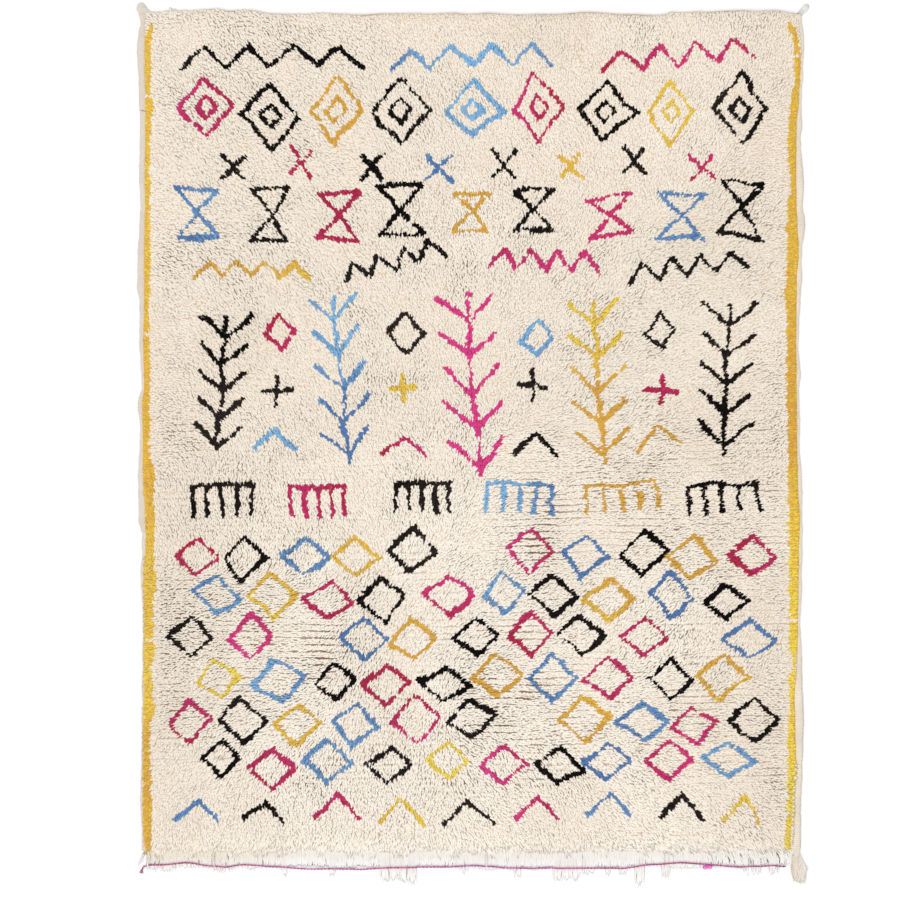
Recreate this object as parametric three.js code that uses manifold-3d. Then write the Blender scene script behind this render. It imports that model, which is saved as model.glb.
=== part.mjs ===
// Azilal rug: a hand-knotted wool field with overcast sides, two corner ends and a loose tuft at its
// upper end, and a warp fringe with a pink thread twined across it, a corner tassel and a wisp at its
// lower end. It lies flat, pile up, on a floor at z = 0.
// Millimetres, +Z up, +X to the right and +Y towards the upper end of the rug. The origin is on the
// floor, under the middle of the whole rug with its fringe.

import * as THREE from "three";
import { mergeVertices } from "three/addons/utils/BufferGeometryUtils.js";
import Module from "manifold-3d";

const wasm = await Module();
wasm.setup();

// Driving sizes

const CLOTH = { width: 1986, length: 2510 };
const PIECE_GAP = 0.3;
const PILE = { height: 15.5, lump: 2.6, swell: 0.9, swellLength: 640, rimHeight: 9, rimInset: 14 };
const GRID = { across: 44, along: 56 };
const SELVEDGE = { height: 8 };
const RIM_LOCK = { count: 74, width: 22, root: 13, low: 3.8, high: 12, reach: 9, spread: 11 };
const STRAND = { width: 7.2, height: 3, sway: 0.7, turn: 0.02 };
const FRINGE = { count: 184, margin: 16, strip: 6, shortest: 53, spread: 7 };
const THREAD = { diameter: 4, steps: 78, sides: 6 };
const BOW = { across: 709, lobeWidth: 16, lobeDepth: 12, height: 5, knot: 6 };
const CORNER_LOOP = { rootFrom: -990, rootTo: -962, headX: -989, rise: 32, radius: 15.5, points: 100 };
const CORNER_END = { rootFrom: 976, rootTo: 991, headX: 1007, rise: 30, radius: 8, points: 42 };
const CORNER = { height: 8, bevel: 2.2 };
const TUFT = { across: -899, width: 17, depth: 4, height: 5, count: 5, length: 13, spread: 4 };
const TASSEL = { across: 978, width: 20, depth: 12, height: 7, count: 9, length: 84, spread: 11 };
const WISP = { across: -983, width: 7, depth: 6, height: 4, count: 4, length: 46, spread: 10 };

// The sides, from the upper end down: how far the overcast cord stands out past the straight side, and
// how wide the cord is there.

const LEFT_SIDE = [
  { along: 0, out: 3, cord: 18 },
  { along: 110, out: 8, cord: 24 },
  { along: 225, out: 2, cord: 19 },
  { along: 370, out: 0, cord: 17 },
  { along: 510, out: 2, cord: 18 },
  { along: 560, out: -2, cord: 14 },
  { along: 730, out: 6, cord: 20 },
  { along: 820, out: 9, cord: 23 },
  { along: 860, out: 1, cord: 15 },
  { along: 1000, out: 2, cord: 14 },
  { along: 1115, out: -7, cord: 7 },
  { along: 1170, out: 6, cord: 14 },
  { along: 1240, out: -1, cord: 8 },
  { along: 1360, out: 4, cord: 15 },
  { along: 1520, out: 4, cord: 21 },
  { along: 1570, out: -7, cord: 12 },
  { along: 1690, out: -3, cord: 12 },
  { along: 1820, out: -8, cord: 8 },
  { along: 2160, out: -6, cord: 7 },
  { along: 2360, out: -1, cord: 10 },
  { along: 2510, out: -7, cord: 8 },
];
const RIGHT_SIDE = [
  { along: 0, out: -3, cord: 9 },
  { along: 100, out: 7, cord: 12 },
  { along: 160, out: 2, cord: 8 },
  { along: 270, out: -2, cord: 10 },
  { along: 340, out: 1, cord: 20 },
  { along: 380, out: -5, cord: 14 },
  { along: 510, out: 5, cord: 24 },
  { along: 575, out: 2, cord: 20 },
  { along: 630, out: 8, cord: 24 },
  { along: 710, out: 0, cord: 9 },
  { along: 795, out: -2, cord: 15 },
  { along: 930, out: -11, cord: 7 },
  { along: 1000, out: -12, cord: 7 },
  { along: 1085, out: -5, cord: 13 },
  { along: 1130, out: -11, cord: 7 },
  { along: 1220, out: -7, cord: 10 },
  { along: 1300, out: -9, cord: 7 },
  { along: 1415, out: 0, cord: 14 },
  { along: 1520, out: 1, cord: 9 },
  { along: 1730, out: -2, cord: 10 },
  { along: 1835, out: -7, cord: 7 },
  { along: 1955, out: -2, cord: 14 },
  { along: 2060, out: 2, cord: 26 },
  { along: 2120, out: 4, cord: 27 },
  { along: 2285, out: 1, cord: 20 },
  { along: 2360, out: -4, cord: 22 },
  { along: 2510, out: -4, cord: 28 },
];

// The ends, from the left side to the right: how far the woven edge stands above its straight line.

const UPPER_END = [
  { across: -972, rise: -1 },
  { across: -888, rise: 4 },
  { across: -786, rise: 10 },
  { across: -738, rise: 5 },
  { across: -681, rise: 8 },
  { across: -606, rise: -3 },
  { across: -507, rise: -6 },
  { across: -456, rise: -2 },
  { across: -339, rise: -7 },
  { across: -273, rise: -3 },
  { across: -117, rise: -4 },
  { across: -60, rise: -1 },
  { across: -6, rise: -5 },
  { across: 45, rise: -1 },
  { across: 120, rise: -6 },
  { across: 252, rise: -5 },
  { across: 354, rise: 2 },
  { across: 456, rise: -4 },
  { across: 567, rise: -7 },
  { across: 627, rise: 0 },
  { across: 702, rise: 2 },
  { across: 828, rise: 7 },
  { across: 870, rise: 2 },
  { across: 918, rise: 5 },
  { across: 978, rise: -3 },
];
const LOWER_END = [
  { across: -980, rise: -4 },
  { across: -300, rise: -1 },
  { across: 0, rise: -4 },
  { across: 450, rise: -1 },
  { across: 980, rise: 5 },
];

// Clumps of warp ends that hang past the pink thread, by where they start and stop.

const LONG_CLUMPS = [
  { from: -936, to: -894, length: 62 },
  { from: -760, to: -738, length: 65 },
  { from: -570, to: -556, length: 80 },
  { from: -424, to: -408, length: 78 },
  { from: -274, to: -200, length: 93 },
  { from: -188, to: -166, length: 101 },
  { from: -28, to: -14, length: 68 },
  { from: 130, to: 146, length: 78 },
  { from: 256, to: 318, length: 90 },
  { from: 326, to: 370, length: 72 },
  { from: 408, to: 420, length: 74 },
  { from: 450, to: 466, length: 74 },
  { from: 498, to: 520, length: 106 },
  { from: 576, to: 592, length: 85 },
  { from: 812, to: 822, length: 76 },
  { from: 832, to: 866, length: 88 },
  { from: 886, to: 920, length: 86 },
];

// The pink thread, from its loose left end: how far below the straight lower end it lies, and how much
// of its full height over the fringe it has reached.

const THREAD_ROUTE = [
  { across: -989, drop: 70, lift: 0 },
  { across: -983, drop: 60, lift: 0 },
  { across: -975, drop: 51, lift: 0.5 },
  { across: -963, drop: 46, lift: 1 },
  { across: -918, drop: 45, lift: 1 },
  { across: -855, drop: 39, lift: 1 },
  { across: -777, drop: 49, lift: 1 },
  { across: -738, drop: 52, lift: 1 },
  { across: -684, drop: 44, lift: 1 },
  { across: -603, drop: 50, lift: 1 },
  { across: -471, drop: 57, lift: 1 },
  { across: -321, drop: 58, lift: 1 },
  { across: -213, drop: 53, lift: 1 },
  { across: -93, drop: 52, lift: 1 },
  { across: 9, drop: 47, lift: 1 },
  { across: 57, drop: 50, lift: 1 },
  { across: 102, drop: 55, lift: 1 },
  { across: 267, drop: 55, lift: 1 },
  { across: 456, drop: 55, lift: 1 },
  { across: 552, drop: 43, lift: 1 },
  { across: 630, drop: 39, lift: 1 },
  { across: 702, drop: 43, lift: 1 },
  { across: 792, drop: 51, lift: 1 },
  { across: 912, drop: 48, lift: 1 },
  { across: 945, drop: 50, lift: 1 },
];

const FINISH = {
  pile: { color: "#efe4d0", roughness: 0.95 },
  selvedge: { color: "#dccdc0", roughness: 0.9 },
  cornerLoop: { color: "#e4ded6", roughness: 0.9 },
  cornerEnd: { color: "#e3e2e1", roughness: 0.9 },
  fringe: { color: "#ece8e8", roughness: 0.9 },
  tassel: { color: "#e8dfd0", roughness: 0.95 },
  thread: { color: "#c9508f", roughness: 0.85 },
  bow: { color: "#dc3fb2", roughness: 0.85 },
};

// Small helpers

// A repeatable value from 0 to 1 for a pair of counts, which stands for the unevenness of hand work.
function unevenness(i, j = 0) {
  const wave = Math.sin(i * 12.9898 + j * 78.233 + 4.1) * 43758.5453;
  return wave - Math.floor(wave);
}

// Reads one column of a table at a place between its rows, with a smooth step from row to row.
function readTable(rows, key, column, place) {
  if (place <= rows[0][key]) return rows[0][column];
  const next = rows.findIndex((row) => row[key] >= place);
  if (next < 0) return rows[rows.length - 1][column];
  const [low, high] = [rows[next - 1], rows[next]];
  const share = THREE.MathUtils.smoothstep(place, low[key], high[key]);
  return THREE.MathUtils.lerp(low[column], high[column], share);
}

// Shares from 0 to 1 of a run: its ends, the rim a little inside each end, and even steps between.
function sharesWithRim(steps, run) {
  const inset = PILE.rimInset / run;
  const inner = Array.from({ length: steps - 1 }, (_, i) => {
    return THREE.MathUtils.lerp(inset, 1 - inset, i / (steps - 2));
  });
  return [0, ...inner, 1];
}

// A geometry from points and faces, with its faces turned outwards.
function closedGeometry(points, faces) {
  const geometry = new THREE.BufferGeometry().setFromPoints(points);
  const volume = faces.reduce((sum, [a, b, c]) => {
    return sum + points[a].dot(new THREE.Vector3().crossVectors(points[b], points[c]));
  }, 0);
  const outward = volume < 0 ? faces.map(([a, b, c]) => [a, c, b]) : faces;
  geometry.setIndex(outward.flat());
  geometry.computeVertexNormals();
  return geometry;
}

// A closed body through rings of the same number of points, with flat ends. An apex point, where one is
// given, closes the far end instead.
function loft(rings, apex) {
  const sides = rings[0].length;
  const points = rings.flat();
  const faces = [];
  for (let ring = 0; ring < rings.length - 1; ring += 1) {
    for (let side = 0; side < sides; side += 1) {
      const a = ring * sides + side;
      const b = ring * sides + (side + 1) % sides;
      faces.push([a, b, b + sides], [a, b + sides, a + sides]);
    }
  }
  const lastRing = (rings.length - 1) * sides;
  for (let side = 1; side < sides - 1; side += 1) {
    faces.push([0, side + 1, side]);
    if (!apex) faces.push([lastRing, lastRing + side, lastRing + side + 1]);
  }
  if (apex) {
    points.push(apex);
    for (let side = 0; side < sides; side += 1) {
      faces.push([lastRing + side, lastRing + (side + 1) % sides, points.length - 1]);
    }
  }
  return closedGeometry(points, faces);
}

function toSolid(geometry) {
  const bare = geometry.clone();
  bare.deleteAttribute("normal");
  bare.deleteAttribute("uv");
  const merged = mergeVertices(bare, 1e-4);
  return new wasm.Manifold(new wasm.Mesh({
    numProp: 3,
    vertProperties: Float32Array.from(merged.attributes.position.array),
    triVerts: Uint32Array.from(merged.index.array),
  }));
}

function fuse(geometries) {
  const solid = geometries.map(toSolid).reduce((whole, next) => whole.add(next));
  const mesh = solid.getMesh();
  const geometry = new THREE.BufferGeometry();
  geometry.setAttribute("position", new THREE.BufferAttribute(mesh.vertProperties, 3));
  geometry.setIndex(new THREE.BufferAttribute(mesh.triVerts, 1));
  geometry.computeVertexNormals();
  return geometry;
}

// The cloth's plan. A place on it is given by two shares: u from the left side to the right, and v from
// the lower end to the upper.

const COLUMNS = sharesWithRim(GRID.across, CLOTH.width);
const ROWS = sharesWithRim(GRID.along, CLOTH.length);

function cordOuter(side, v) {
  const rows = side < 0 ? LEFT_SIDE : RIGHT_SIDE;
  return side * (CLOTH.width / 2 + readTable(rows, "along", "out", (1 - v) * CLOTH.length));
}

function clothSide(side, v) {
  const rows = side < 0 ? LEFT_SIDE : RIGHT_SIDE;
  return cordOuter(side, v) - side * readTable(rows, "along", "cord", (1 - v) * CLOTH.length);
}

function clothEnd(u, rows, side) {
  const across = (u - 0.5) * CLOTH.width;
  return side * CLOTH.length / 2 + readTable(rows, "across", "rise", across);
}

const lowerEnd = (u) => clothEnd(u, LOWER_END, -1);
const upperEnd = (u) => clothEnd(u, UPPER_END, 1);

function clothPlace(u, v) {
  return {
    x: THREE.MathUtils.lerp(clothSide(-1, v), clothSide(1, v), u),
    y: THREE.MathUtils.lerp(lowerEnd(u), upperEnd(u), v),
  };
}

// The y of the cloth's lower or upper end at the given x, straight between the grid's columns.
function endAt(x, v) {
  const share = THREE.MathUtils.inverseLerp(clothSide(-1, v), clothSide(1, v), x);
  const u = THREE.MathUtils.clamp(share, 0, 1);
  const next = Math.max(1, COLUMNS.findIndex((column) => column >= u));
  const [low, high] = [COLUMNS[next - 1], COLUMNS[next]];
  const end = v ? upperEnd : lowerEnd;
  return THREE.MathUtils.mapLinear(u, low, high, end(low), end(high));
}

// The height of the pile: long low swells of the cloth and a lump at each point of the grid.
function pileHeight(place, column, row) {
  const turn = (2 * Math.PI) / PILE.swellLength;
  const swell = Math.sin(place.x * turn + 1.7) * Math.cos(place.y * turn * 0.8 + 0.6);
  return PILE.height + PILE.swell * swell + PILE.lump * (unevenness(column, row) - 0.5) * 2;
}

// The field: a lumpy top on the grid, a soft rim round it and a flat underside.
function pileSlab() {
  const points = [];
  COLUMNS.forEach((u, column) => ROWS.forEach((v, row) => {
    const place = clothPlace(u, v);
    const onRim = u % 1 === 0 || v % 1 === 0;
    const z = onRim ? PILE.rimHeight : pileHeight(place, column, row);
    points.push(new THREE.Vector3(place.x, place.y, z));
  }));
  const at = (column, row) => column * ROWS.length + row;
  const [lastColumn, lastRow] = [COLUMNS.length - 1, ROWS.length - 1];
  const faces = [];
  for (let column = 0; column < lastColumn; column += 1) {
    for (let row = 0; row < lastRow; row += 1) {
      const [a, b] = [at(column, row), at(column + 1, row)];
      const [c, d] = [at(column + 1, row + 1), at(column, row + 1)];
      if ((column + row) % 2) faces.push([a, b, c], [a, c, d]);
      else faces.push([a, b, d], [b, c, d]);
    }
  }
  const rim = [];
  for (let column = 0; column < lastColumn; column += 1) rim.push(at(column, 0));
  for (let row = 0; row < lastRow; row += 1) rim.push(at(lastColumn, row));
  for (let column = lastColumn; column > 0; column -= 1) rim.push(at(column, lastRow));
  for (let row = lastRow; row > 0; row -= 1) rim.push(at(0, row));
  const foot = points.length;
  rim.forEach((index) => points.push(new THREE.Vector3(points[index].x, points[index].y, 0)));
  rim.forEach((index, i) => {
    const next = (i + 1) % rim.length;
    faces.push([index, foot + i, foot + next], [index, foot + next, rim[next]]);
  });
  const outline = rim.map((index) => new THREE.Vector2(points[index].x, points[index].y));
  THREE.ShapeUtils.triangulateShape(outline, []).forEach(([a, b, c]) => {
    faces.push([foot + a, foot + c, foot + b]);
  });
  return closedGeometry(points, faces);
}

// A lock of pile at the lower rim: four-sided, rooted in the field and drooping past its edge.
function rimLock(index) {
  const share = (index + 0.5) / RIM_LOCK.count;
  const margin = RIM_LOCK.width * 0.7;
  const x = THREE.MathUtils.lerp(clothSide(-1, 0) + margin, clothSide(1, 0) - margin, share);
  const edge = endAt(x, 0);
  const half = RIM_LOCK.width * (0.4 + 0.12 * unevenness(index, 1));
  const lean = (unevenness(index, 2) - 0.5) * half * 0.6;
  const reach = RIM_LOCK.reach + RIM_LOCK.spread * unevenness(index, 3);
  const ring = (y, shift, wide, low, high) => [
    new THREE.Vector3(x + shift - wide, y, low),
    new THREE.Vector3(x + shift + wide, y, low),
    new THREE.Vector3(x + shift + wide * 0.6, y, high),
    new THREE.Vector3(x + shift - wide * 0.6, y, high),
  ];
  const { root, low, high } = RIM_LOCK;
  return loft([
    ring(edge + root, 0, half, low + 1, high),
    ring(edge - reach * 0.4, lean * 0.5, half, low, high * 0.85),
    ring(edge - reach, lean, half * 0.45, low, low + 2.4),
  ]);
}

function pileField() {
  const locks = Array.from({ length: RIM_LOCK.count }, (_, index) => rimLock(index));
  return fuse([pileSlab(), ...locks]);
}

// An overcast side cord: a rounded section carried down the side, its inner face along the cloth's.
function selvedge(side) {
  const rings = ROWS.map((v) => {
    const outer = cordOuter(side, v);
    const inner = clothSide(side, v) + side * PIECE_GAP;
    const y = clothPlace(side < 0 ? 0 : 1, v).y;
    const crown = SELVEDGE.height * (0.9 + 0.2 * unevenness(v * GRID.along, side));
    const at = (share, z) => new THREE.Vector3(THREE.MathUtils.lerp(outer, inner, share), y, z);
    return [at(0.1, 0), at(1, 0), at(1, crown * 0.6), at(0.7, crown), at(0.25, crown), at(0, crown * 0.5)];
  });
  return loft(rings);
}

// A strand that lies level on the floor: three-sided, ridge up, from its root to a point.
function strand({ x, y, heading, length, width, height, sway = 0 }) {
  const forward = new THREE.Vector2(Math.sin(heading), -Math.cos(heading));
  const side = new THREE.Vector2(Math.cos(heading), Math.sin(heading));
  const middle = (share) => new THREE.Vector2(x, y)
    .addScaledVector(forward, length * share)
    .addScaledVector(side, sway * Math.sin(Math.PI * 1.5 * share));
  const ring = (share, wide, high) => {
    const at = middle(share);
    return [
      new THREE.Vector3(at.x - side.x * wide / 2, at.y - side.y * wide / 2, 0),
      new THREE.Vector3(at.x + side.x * wide / 2, at.y + side.y * wide / 2, 0),
      new THREE.Vector3(at.x, at.y, high),
    ];
  };
  const tip = middle(1);
  const rings = [ring(0, width, height), ring(0.5, width, height), ring(0.9, width * 0.7, height * 0.9)];
  return loft(rings, new THREE.Vector3(tip.x, tip.y, 0));
}

// The warp ends, spaced along a narrow strip that follows the cloth's lower end.
function warpFringe() {
  const left = clothSide(-1, 0) + FRINGE.margin;
  const right = clothSide(1, 0) - FRINGE.margin;
  const inside = COLUMNS.map((u) => clothPlace(u, 0).x).filter((x) => x > left && x < right);
  const strip = loft([left, ...inside, right].map((x) => {
    const edge = endAt(x, 0) - PIECE_GAP;
    return [
      new THREE.Vector3(x, edge, 0),
      new THREE.Vector3(x, edge - FRINGE.strip, 0),
      new THREE.Vector3(x, edge - FRINGE.strip, STRAND.height),
      new THREE.Vector3(x, edge, STRAND.height),
    ];
  }));
  const strands = Array.from({ length: FRINGE.count }, (_, index) => {
    const x = THREE.MathUtils.lerp(left, right, (index + 0.5) / FRINGE.count);
    const clump = LONG_CLUMPS.find((row) => x >= row.from && x <= row.to);
    const length = clump ? clump.length - 8 * unevenness(index, 5) : FRINGE.shortest;
    return strand({
      x,
      y: endAt(x, 0) - FRINGE.strip / 2,
      heading: (unevenness(index, 6) - 0.5) * STRAND.turn,
      length: length + FRINGE.spread * unevenness(index, 7),
      width: STRAND.width * (0.9 + 0.2 * unevenness(index, 8)),
      height: STRAND.height,
      sway: STRAND.sway * (unevenness(index, 9) - 0.5) * 2,
    });
  });
  return fuse([strip, ...strands]);
}

// Strands that fan out of a small head, which sits against the end at the given y.
function strandTuft({ x, y, towards, lean, fan, sizes }) {
  const { width, depth, height, count, length, spread } = sizes;
  const head = new THREE.BoxGeometry(width, depth, height);
  head.translate(x, y + towards * depth / 2, height / 2);
  const strandWidth = Math.min(4.4, (width / count) * 1.7);
  const strands = Array.from({ length: count }, (_, index) => {
    const share = (index + 0.5) / count - 0.5;
    const turn = lean + fan * share;
    return strand({
      x: x + share * (width - strandWidth / 2),
      y: y + towards * depth * 0.6,
      heading: towards < 0 ? turn : Math.PI - turn,
      length: length + spread * unevenness(index, x),
      width: strandWidth,
      height: height * 0.5,
    });
  });
  return fuse([head, ...strands]);
}

// The rounded end at an upper corner: straight flanks that rise from the cloth to a round head, which
// points the given way in degrees from +X.
function cornerEnd({ rootFrom, rootTo, headX, rise, radius, points }) {
  const edges = [rootFrom, (rootFrom + rootTo) / 2, rootTo].map((x) => endAt(x, 1));
  const root = Math.max(...edges) + PIECE_GAP;
  const towards = THREE.MathUtils.degToRad(points);
  const outline = new THREE.Shape();
  outline.moveTo(rootFrom, root);
  outline.lineTo(rootTo, root);
  outline.absarc(headX, root + rise - radius, radius, towards - Math.PI / 2, towards + Math.PI / 2, false);
  const solid = new THREE.ExtrudeGeometry(outline, {
    depth: CORNER.height - 2 * CORNER.bevel,
    bevelThickness: CORNER.bevel,
    bevelSize: CORNER.bevel,
    bevelOffset: -CORNER.bevel,
    bevelSegments: 2,
    curveSegments: 10,
  });
  return solid.translate(0, 0, CORNER.bevel);
}

// The pink thread: one round section along its route, over the warp ends and down to the floor at its
// loose end.
function headingThread() {
  const radius = THREAD.diameter / 2;
  const places = THREAD_ROUTE.map(({ across, drop, lift }) => {
    const z = radius + 0.1 + lift * (STRAND.height + PIECE_GAP);
    return new THREE.Vector3(across, -CLOTH.length / 2 - drop, z);
  });
  const section = new THREE.Shape();
  section.absarc(0, 0, radius, 0, 2 * Math.PI, false);
  return new THREE.ExtrudeGeometry(section, {
    extrudePath: new THREE.CatmullRomCurve3(places, false, "centripetal"),
    steps: THREAD.steps,
    curveSegments: THREAD.sides / 2,
  });
}

// The bow: two flattened lobes and a small knot between them, lying against the thread.
function threadBow() {
  const drop = readTable(THREAD_ROUTE, "across", "drop", BOW.across) + THREAD.diameter / 2 + 1;
  const y = -CLOTH.length / 2 - drop - BOW.lobeDepth / 2;
  const z = STRAND.height + PIECE_GAP + BOW.height / 2 + 0.1;
  const lump = (shift, wide, deep, high) => {
    const ball = new THREE.SphereGeometry(0.5, 10, 6);
    ball.rotateX(Math.PI / 2);
    ball.scale(wide, deep, high);
    return ball.translate(BOW.across + shift, y, z);
  };
  const offset = BOW.lobeWidth * 0.45;
  return fuse([
    lump(-offset, BOW.lobeWidth, BOW.lobeDepth, BOW.height),
    lump(offset, BOW.lobeWidth, BOW.lobeDepth * 0.9, BOW.height),
    lump(0, BOW.knot, BOW.knot * 1.2, BOW.height * 0.98),
  ]);
}

// The rug

const rug = new THREE.Group();

function addPiece(name, geometry, finish) {
  const material = new THREE.MeshStandardMaterial({ ...finish, metalness: 0 });
  const mesh = new THREE.Mesh(geometry, material);
  mesh.name = name;
  rug.add(mesh);
}

addPiece("pile_field", pileField(), FINISH.pile);
addPiece("selvedge_left", selvedge(-1), FINISH.selvedge);
addPiece("selvedge_right", selvedge(1), FINISH.selvedge);
addPiece("corner_loop", cornerEnd(CORNER_LOOP), FINISH.cornerLoop);
addPiece("corner_end", cornerEnd(CORNER_END), FINISH.cornerEnd);
addPiece("edge_tuft", strandTuft({
  x: TUFT.across,
  y: Math.max(endAt(TUFT.across - TUFT.width / 2, 1), endAt(TUFT.across + TUFT.width / 2, 1)) + PIECE_GAP,
  towards: 1,
  lean: 0.1,
  fan: 0.5,
  sizes: TUFT,
}), FINISH.tassel);
addPiece("warp_fringe", warpFringe(), FINISH.fringe);
addPiece("corner_tassel", strandTuft({
  x: TASSEL.across,
  y: lowerEnd(1) - PIECE_GAP,
  towards: -1,
  lean: 0.05,
  fan: 0.42,
  sizes: TASSEL,
}), FINISH.tassel);
addPiece("corner_wisp", strandTuft({
  x: WISP.across,
  y: lowerEnd(0) - PIECE_GAP,
  towards: -1,
  lean: -0.2,
  fan: 0.34,
  sizes: WISP,
}), FINISH.fringe);
addPiece("heading_thread", headingThread(), FINISH.thread);
addPiece("thread_bow", threadBow(), FINISH.bow);

// The whole is moved so that the origin lies under its middle.
const extent = new THREE.Box3().setFromObject(rug);
rug.position.set(-(extent.min.x + extent.max.x) / 2, -(extent.min.y + extent.max.y) / 2, -extent.min.z);
rug.updateMatrixWorld(true);

export default rug;
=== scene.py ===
"""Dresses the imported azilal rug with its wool: the ground cloth and its pile, the side cords, the corner
ends, the warp fringe with its pink thread, the bow, the tassel and the loose tufts.

Metres, +Z up. Shapes are worked out in the cloth's own frame, whose origin is the cloth's middle on the
floor, with +X to the right and +Y towards the upper end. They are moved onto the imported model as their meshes
are made.
"""

import bpy
import numpy as np
from bpy.props import FloatProperty, FloatVectorProperty, IntProperty, PointerProperty
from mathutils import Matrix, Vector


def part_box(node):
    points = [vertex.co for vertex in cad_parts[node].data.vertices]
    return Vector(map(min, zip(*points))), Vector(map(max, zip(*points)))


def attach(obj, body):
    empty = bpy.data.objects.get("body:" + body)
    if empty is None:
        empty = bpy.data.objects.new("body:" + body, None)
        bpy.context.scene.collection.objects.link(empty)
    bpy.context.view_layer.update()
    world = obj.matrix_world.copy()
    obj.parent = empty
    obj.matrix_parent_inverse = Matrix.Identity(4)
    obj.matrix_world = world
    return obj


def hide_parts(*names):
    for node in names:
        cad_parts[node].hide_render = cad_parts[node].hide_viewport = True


bl_info = {
    "name": "Azilal rug",
    "version": (1, 0, 0),
    "blender": (4, 5, 0),
    "location": "3D View > Sidebar > Azilal rug",
    "description": "Makes the wool pile, side cords, fringe and thread of a knotted rug on its packed model",
    "category": "Add Mesh",
}

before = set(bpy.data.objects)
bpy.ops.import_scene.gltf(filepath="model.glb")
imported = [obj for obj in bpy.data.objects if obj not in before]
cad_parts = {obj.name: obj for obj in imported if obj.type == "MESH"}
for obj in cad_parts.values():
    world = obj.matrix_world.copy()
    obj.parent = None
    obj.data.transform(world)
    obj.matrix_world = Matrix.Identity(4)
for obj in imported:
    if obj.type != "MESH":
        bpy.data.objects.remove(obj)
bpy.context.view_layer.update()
BODY = "root"

# Driving sizes, the same as the solids have

CLOTH_WIDTH = 1.986
CLOTH_LENGTH = 2.510
CORD_HEIGHT = 0.008
STRAND_HEIGHT = 0.003
PIECE_GAP = 0.0003
HAIR = 0.0001

# The long sides from the upper end down: how far the cord's outer edge lies past half the cloth's width, and
# how wide the cord is

SIDE_ROW = [("along", float), ("out", float), ("cord", float)]
LEFT_SIDE = np.array(
    [
        (0.000, 0.003, 0.018),
        (0.110, 0.008, 0.024),
        (0.225, 0.002, 0.019),
        (0.370, 0.000, 0.017),
        (0.510, 0.002, 0.018),
        (0.560, -0.002, 0.014),
        (0.730, 0.006, 0.020),
        (0.820, 0.009, 0.023),
        (0.860, 0.001, 0.015),
        (1.000, 0.002, 0.014),
        (1.115, -0.007, 0.007),
        (1.170, 0.006, 0.014),
        (1.240, -0.001, 0.008),
        (1.360, 0.004, 0.015),
        (1.520, 0.004, 0.021),
        (1.570, -0.007, 0.012),
        (1.690, -0.003, 0.012),
        (1.820, -0.008, 0.008),
        (2.160, -0.006, 0.007),
        (2.360, -0.001, 0.010),
        (2.510, -0.007, 0.008),
    ],
    SIDE_ROW,
)
RIGHT_SIDE = np.array(
    [
        (0.000, -0.003, 0.009),
        (0.100, 0.007, 0.012),
        (0.160, 0.002, 0.008),
        (0.270, -0.002, 0.010),
        (0.340, 0.001, 0.020),
        (0.380, -0.005, 0.014),
        (0.510, 0.005, 0.024),
        (0.575, 0.002, 0.020),
        (0.630, 0.008, 0.024),
        (0.710, 0.000, 0.009),
        (0.795, -0.002, 0.015),
        (0.930, -0.011, 0.007),
        (1.000, -0.012, 0.007),
        (1.085, -0.005, 0.013),
        (1.130, -0.011, 0.007),
        (1.220, -0.007, 0.010),
        (1.300, -0.009, 0.007),
        (1.415, 0.000, 0.014),
        (1.520, 0.001, 0.009),
        (1.730, -0.002, 0.010),
        (1.835, -0.007, 0.007),
        (1.955, -0.002, 0.014),
        (2.060, 0.002, 0.026),
        (2.120, 0.004, 0.027),
        (2.285, 0.001, 0.020),
        (2.360, -0.004, 0.022),
        (2.510, -0.004, 0.028),
    ],
    SIDE_ROW,
)

# The two ends from left to right: how far their edge lies above a straight one

END_ROW = [("across", float), ("rise", float)]
UPPER_END = np.array(
    [
        (-0.972, -0.001),
        (-0.888, 0.004),
        (-0.786, 0.010),
        (-0.738, 0.005),
        (-0.681, 0.008),
        (-0.606, -0.003),
        (-0.507, -0.006),
        (-0.456, -0.002),
        (-0.339, -0.007),
        (-0.273, -0.003),
        (-0.117, -0.004),
        (-0.060, -0.001),
        (-0.006, -0.005),
        (0.045, -0.001),
        (0.120, -0.006),
        (0.252, -0.005),
        (0.354, 0.002),
        (0.456, -0.004),
        (0.567, -0.007),
        (0.627, 0.000),
        (0.702, 0.002),
        (0.828, 0.007),
        (0.870, 0.002),
        (0.918, 0.005),
        (0.978, -0.003),
    ],
    END_ROW,
)
LOWER_END = np.array(
    [(-0.980, -0.004), (-0.300, -0.001), (0.000, -0.004), (0.450, -0.001), (0.980, 0.005)], END_ROW
)

# Clumps of warp ends that hang past the pink thread: where they start and stop, and how long they are

LONG_CLUMPS = np.array(
    [
        (-0.936, -0.894, 0.062),
        (-0.760, -0.738, 0.065),
        (-0.570, -0.556, 0.080),
        (-0.424, -0.408, 0.078),
        (-0.274, -0.200, 0.093),
        (-0.188, -0.166, 0.101),
        (-0.028, -0.014, 0.068),
        (0.130, 0.146, 0.078),
        (0.256, 0.318, 0.090),
        (0.326, 0.370, 0.072),
        (0.408, 0.420, 0.074),
        (0.450, 0.466, 0.074),
        (0.498, 0.520, 0.106),
        (0.576, 0.592, 0.085),
        (0.812, 0.822, 0.076),
        (0.832, 0.866, 0.088),
        (0.886, 0.920, 0.086),
    ],
    [("start", float), ("stop", float), ("length", float)],
)

# Where a single warp end lies over the pink thread

COVERED_PLACES = (-0.970, -0.771, 0.045)

# The felted loop at the upper left corner, from the cloth out to its tip

CORNER_TAB_HEIGHT = 0.0062
CORNER_TAB = np.array(
    [
        (0.00, -0.966, 1.232, 0.034),
        (0.30, -0.976, 1.248, 0.032),
        (0.62, -0.989, 1.268, 0.030),
        (1.00, -0.992, 1.284, 0.028),
    ],
    [("share", float), ("across", float), ("up", float), ("width", float)],
)

# The pink thread from its loose left end: its drop below the straight lower end, and its share of full height

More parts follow.
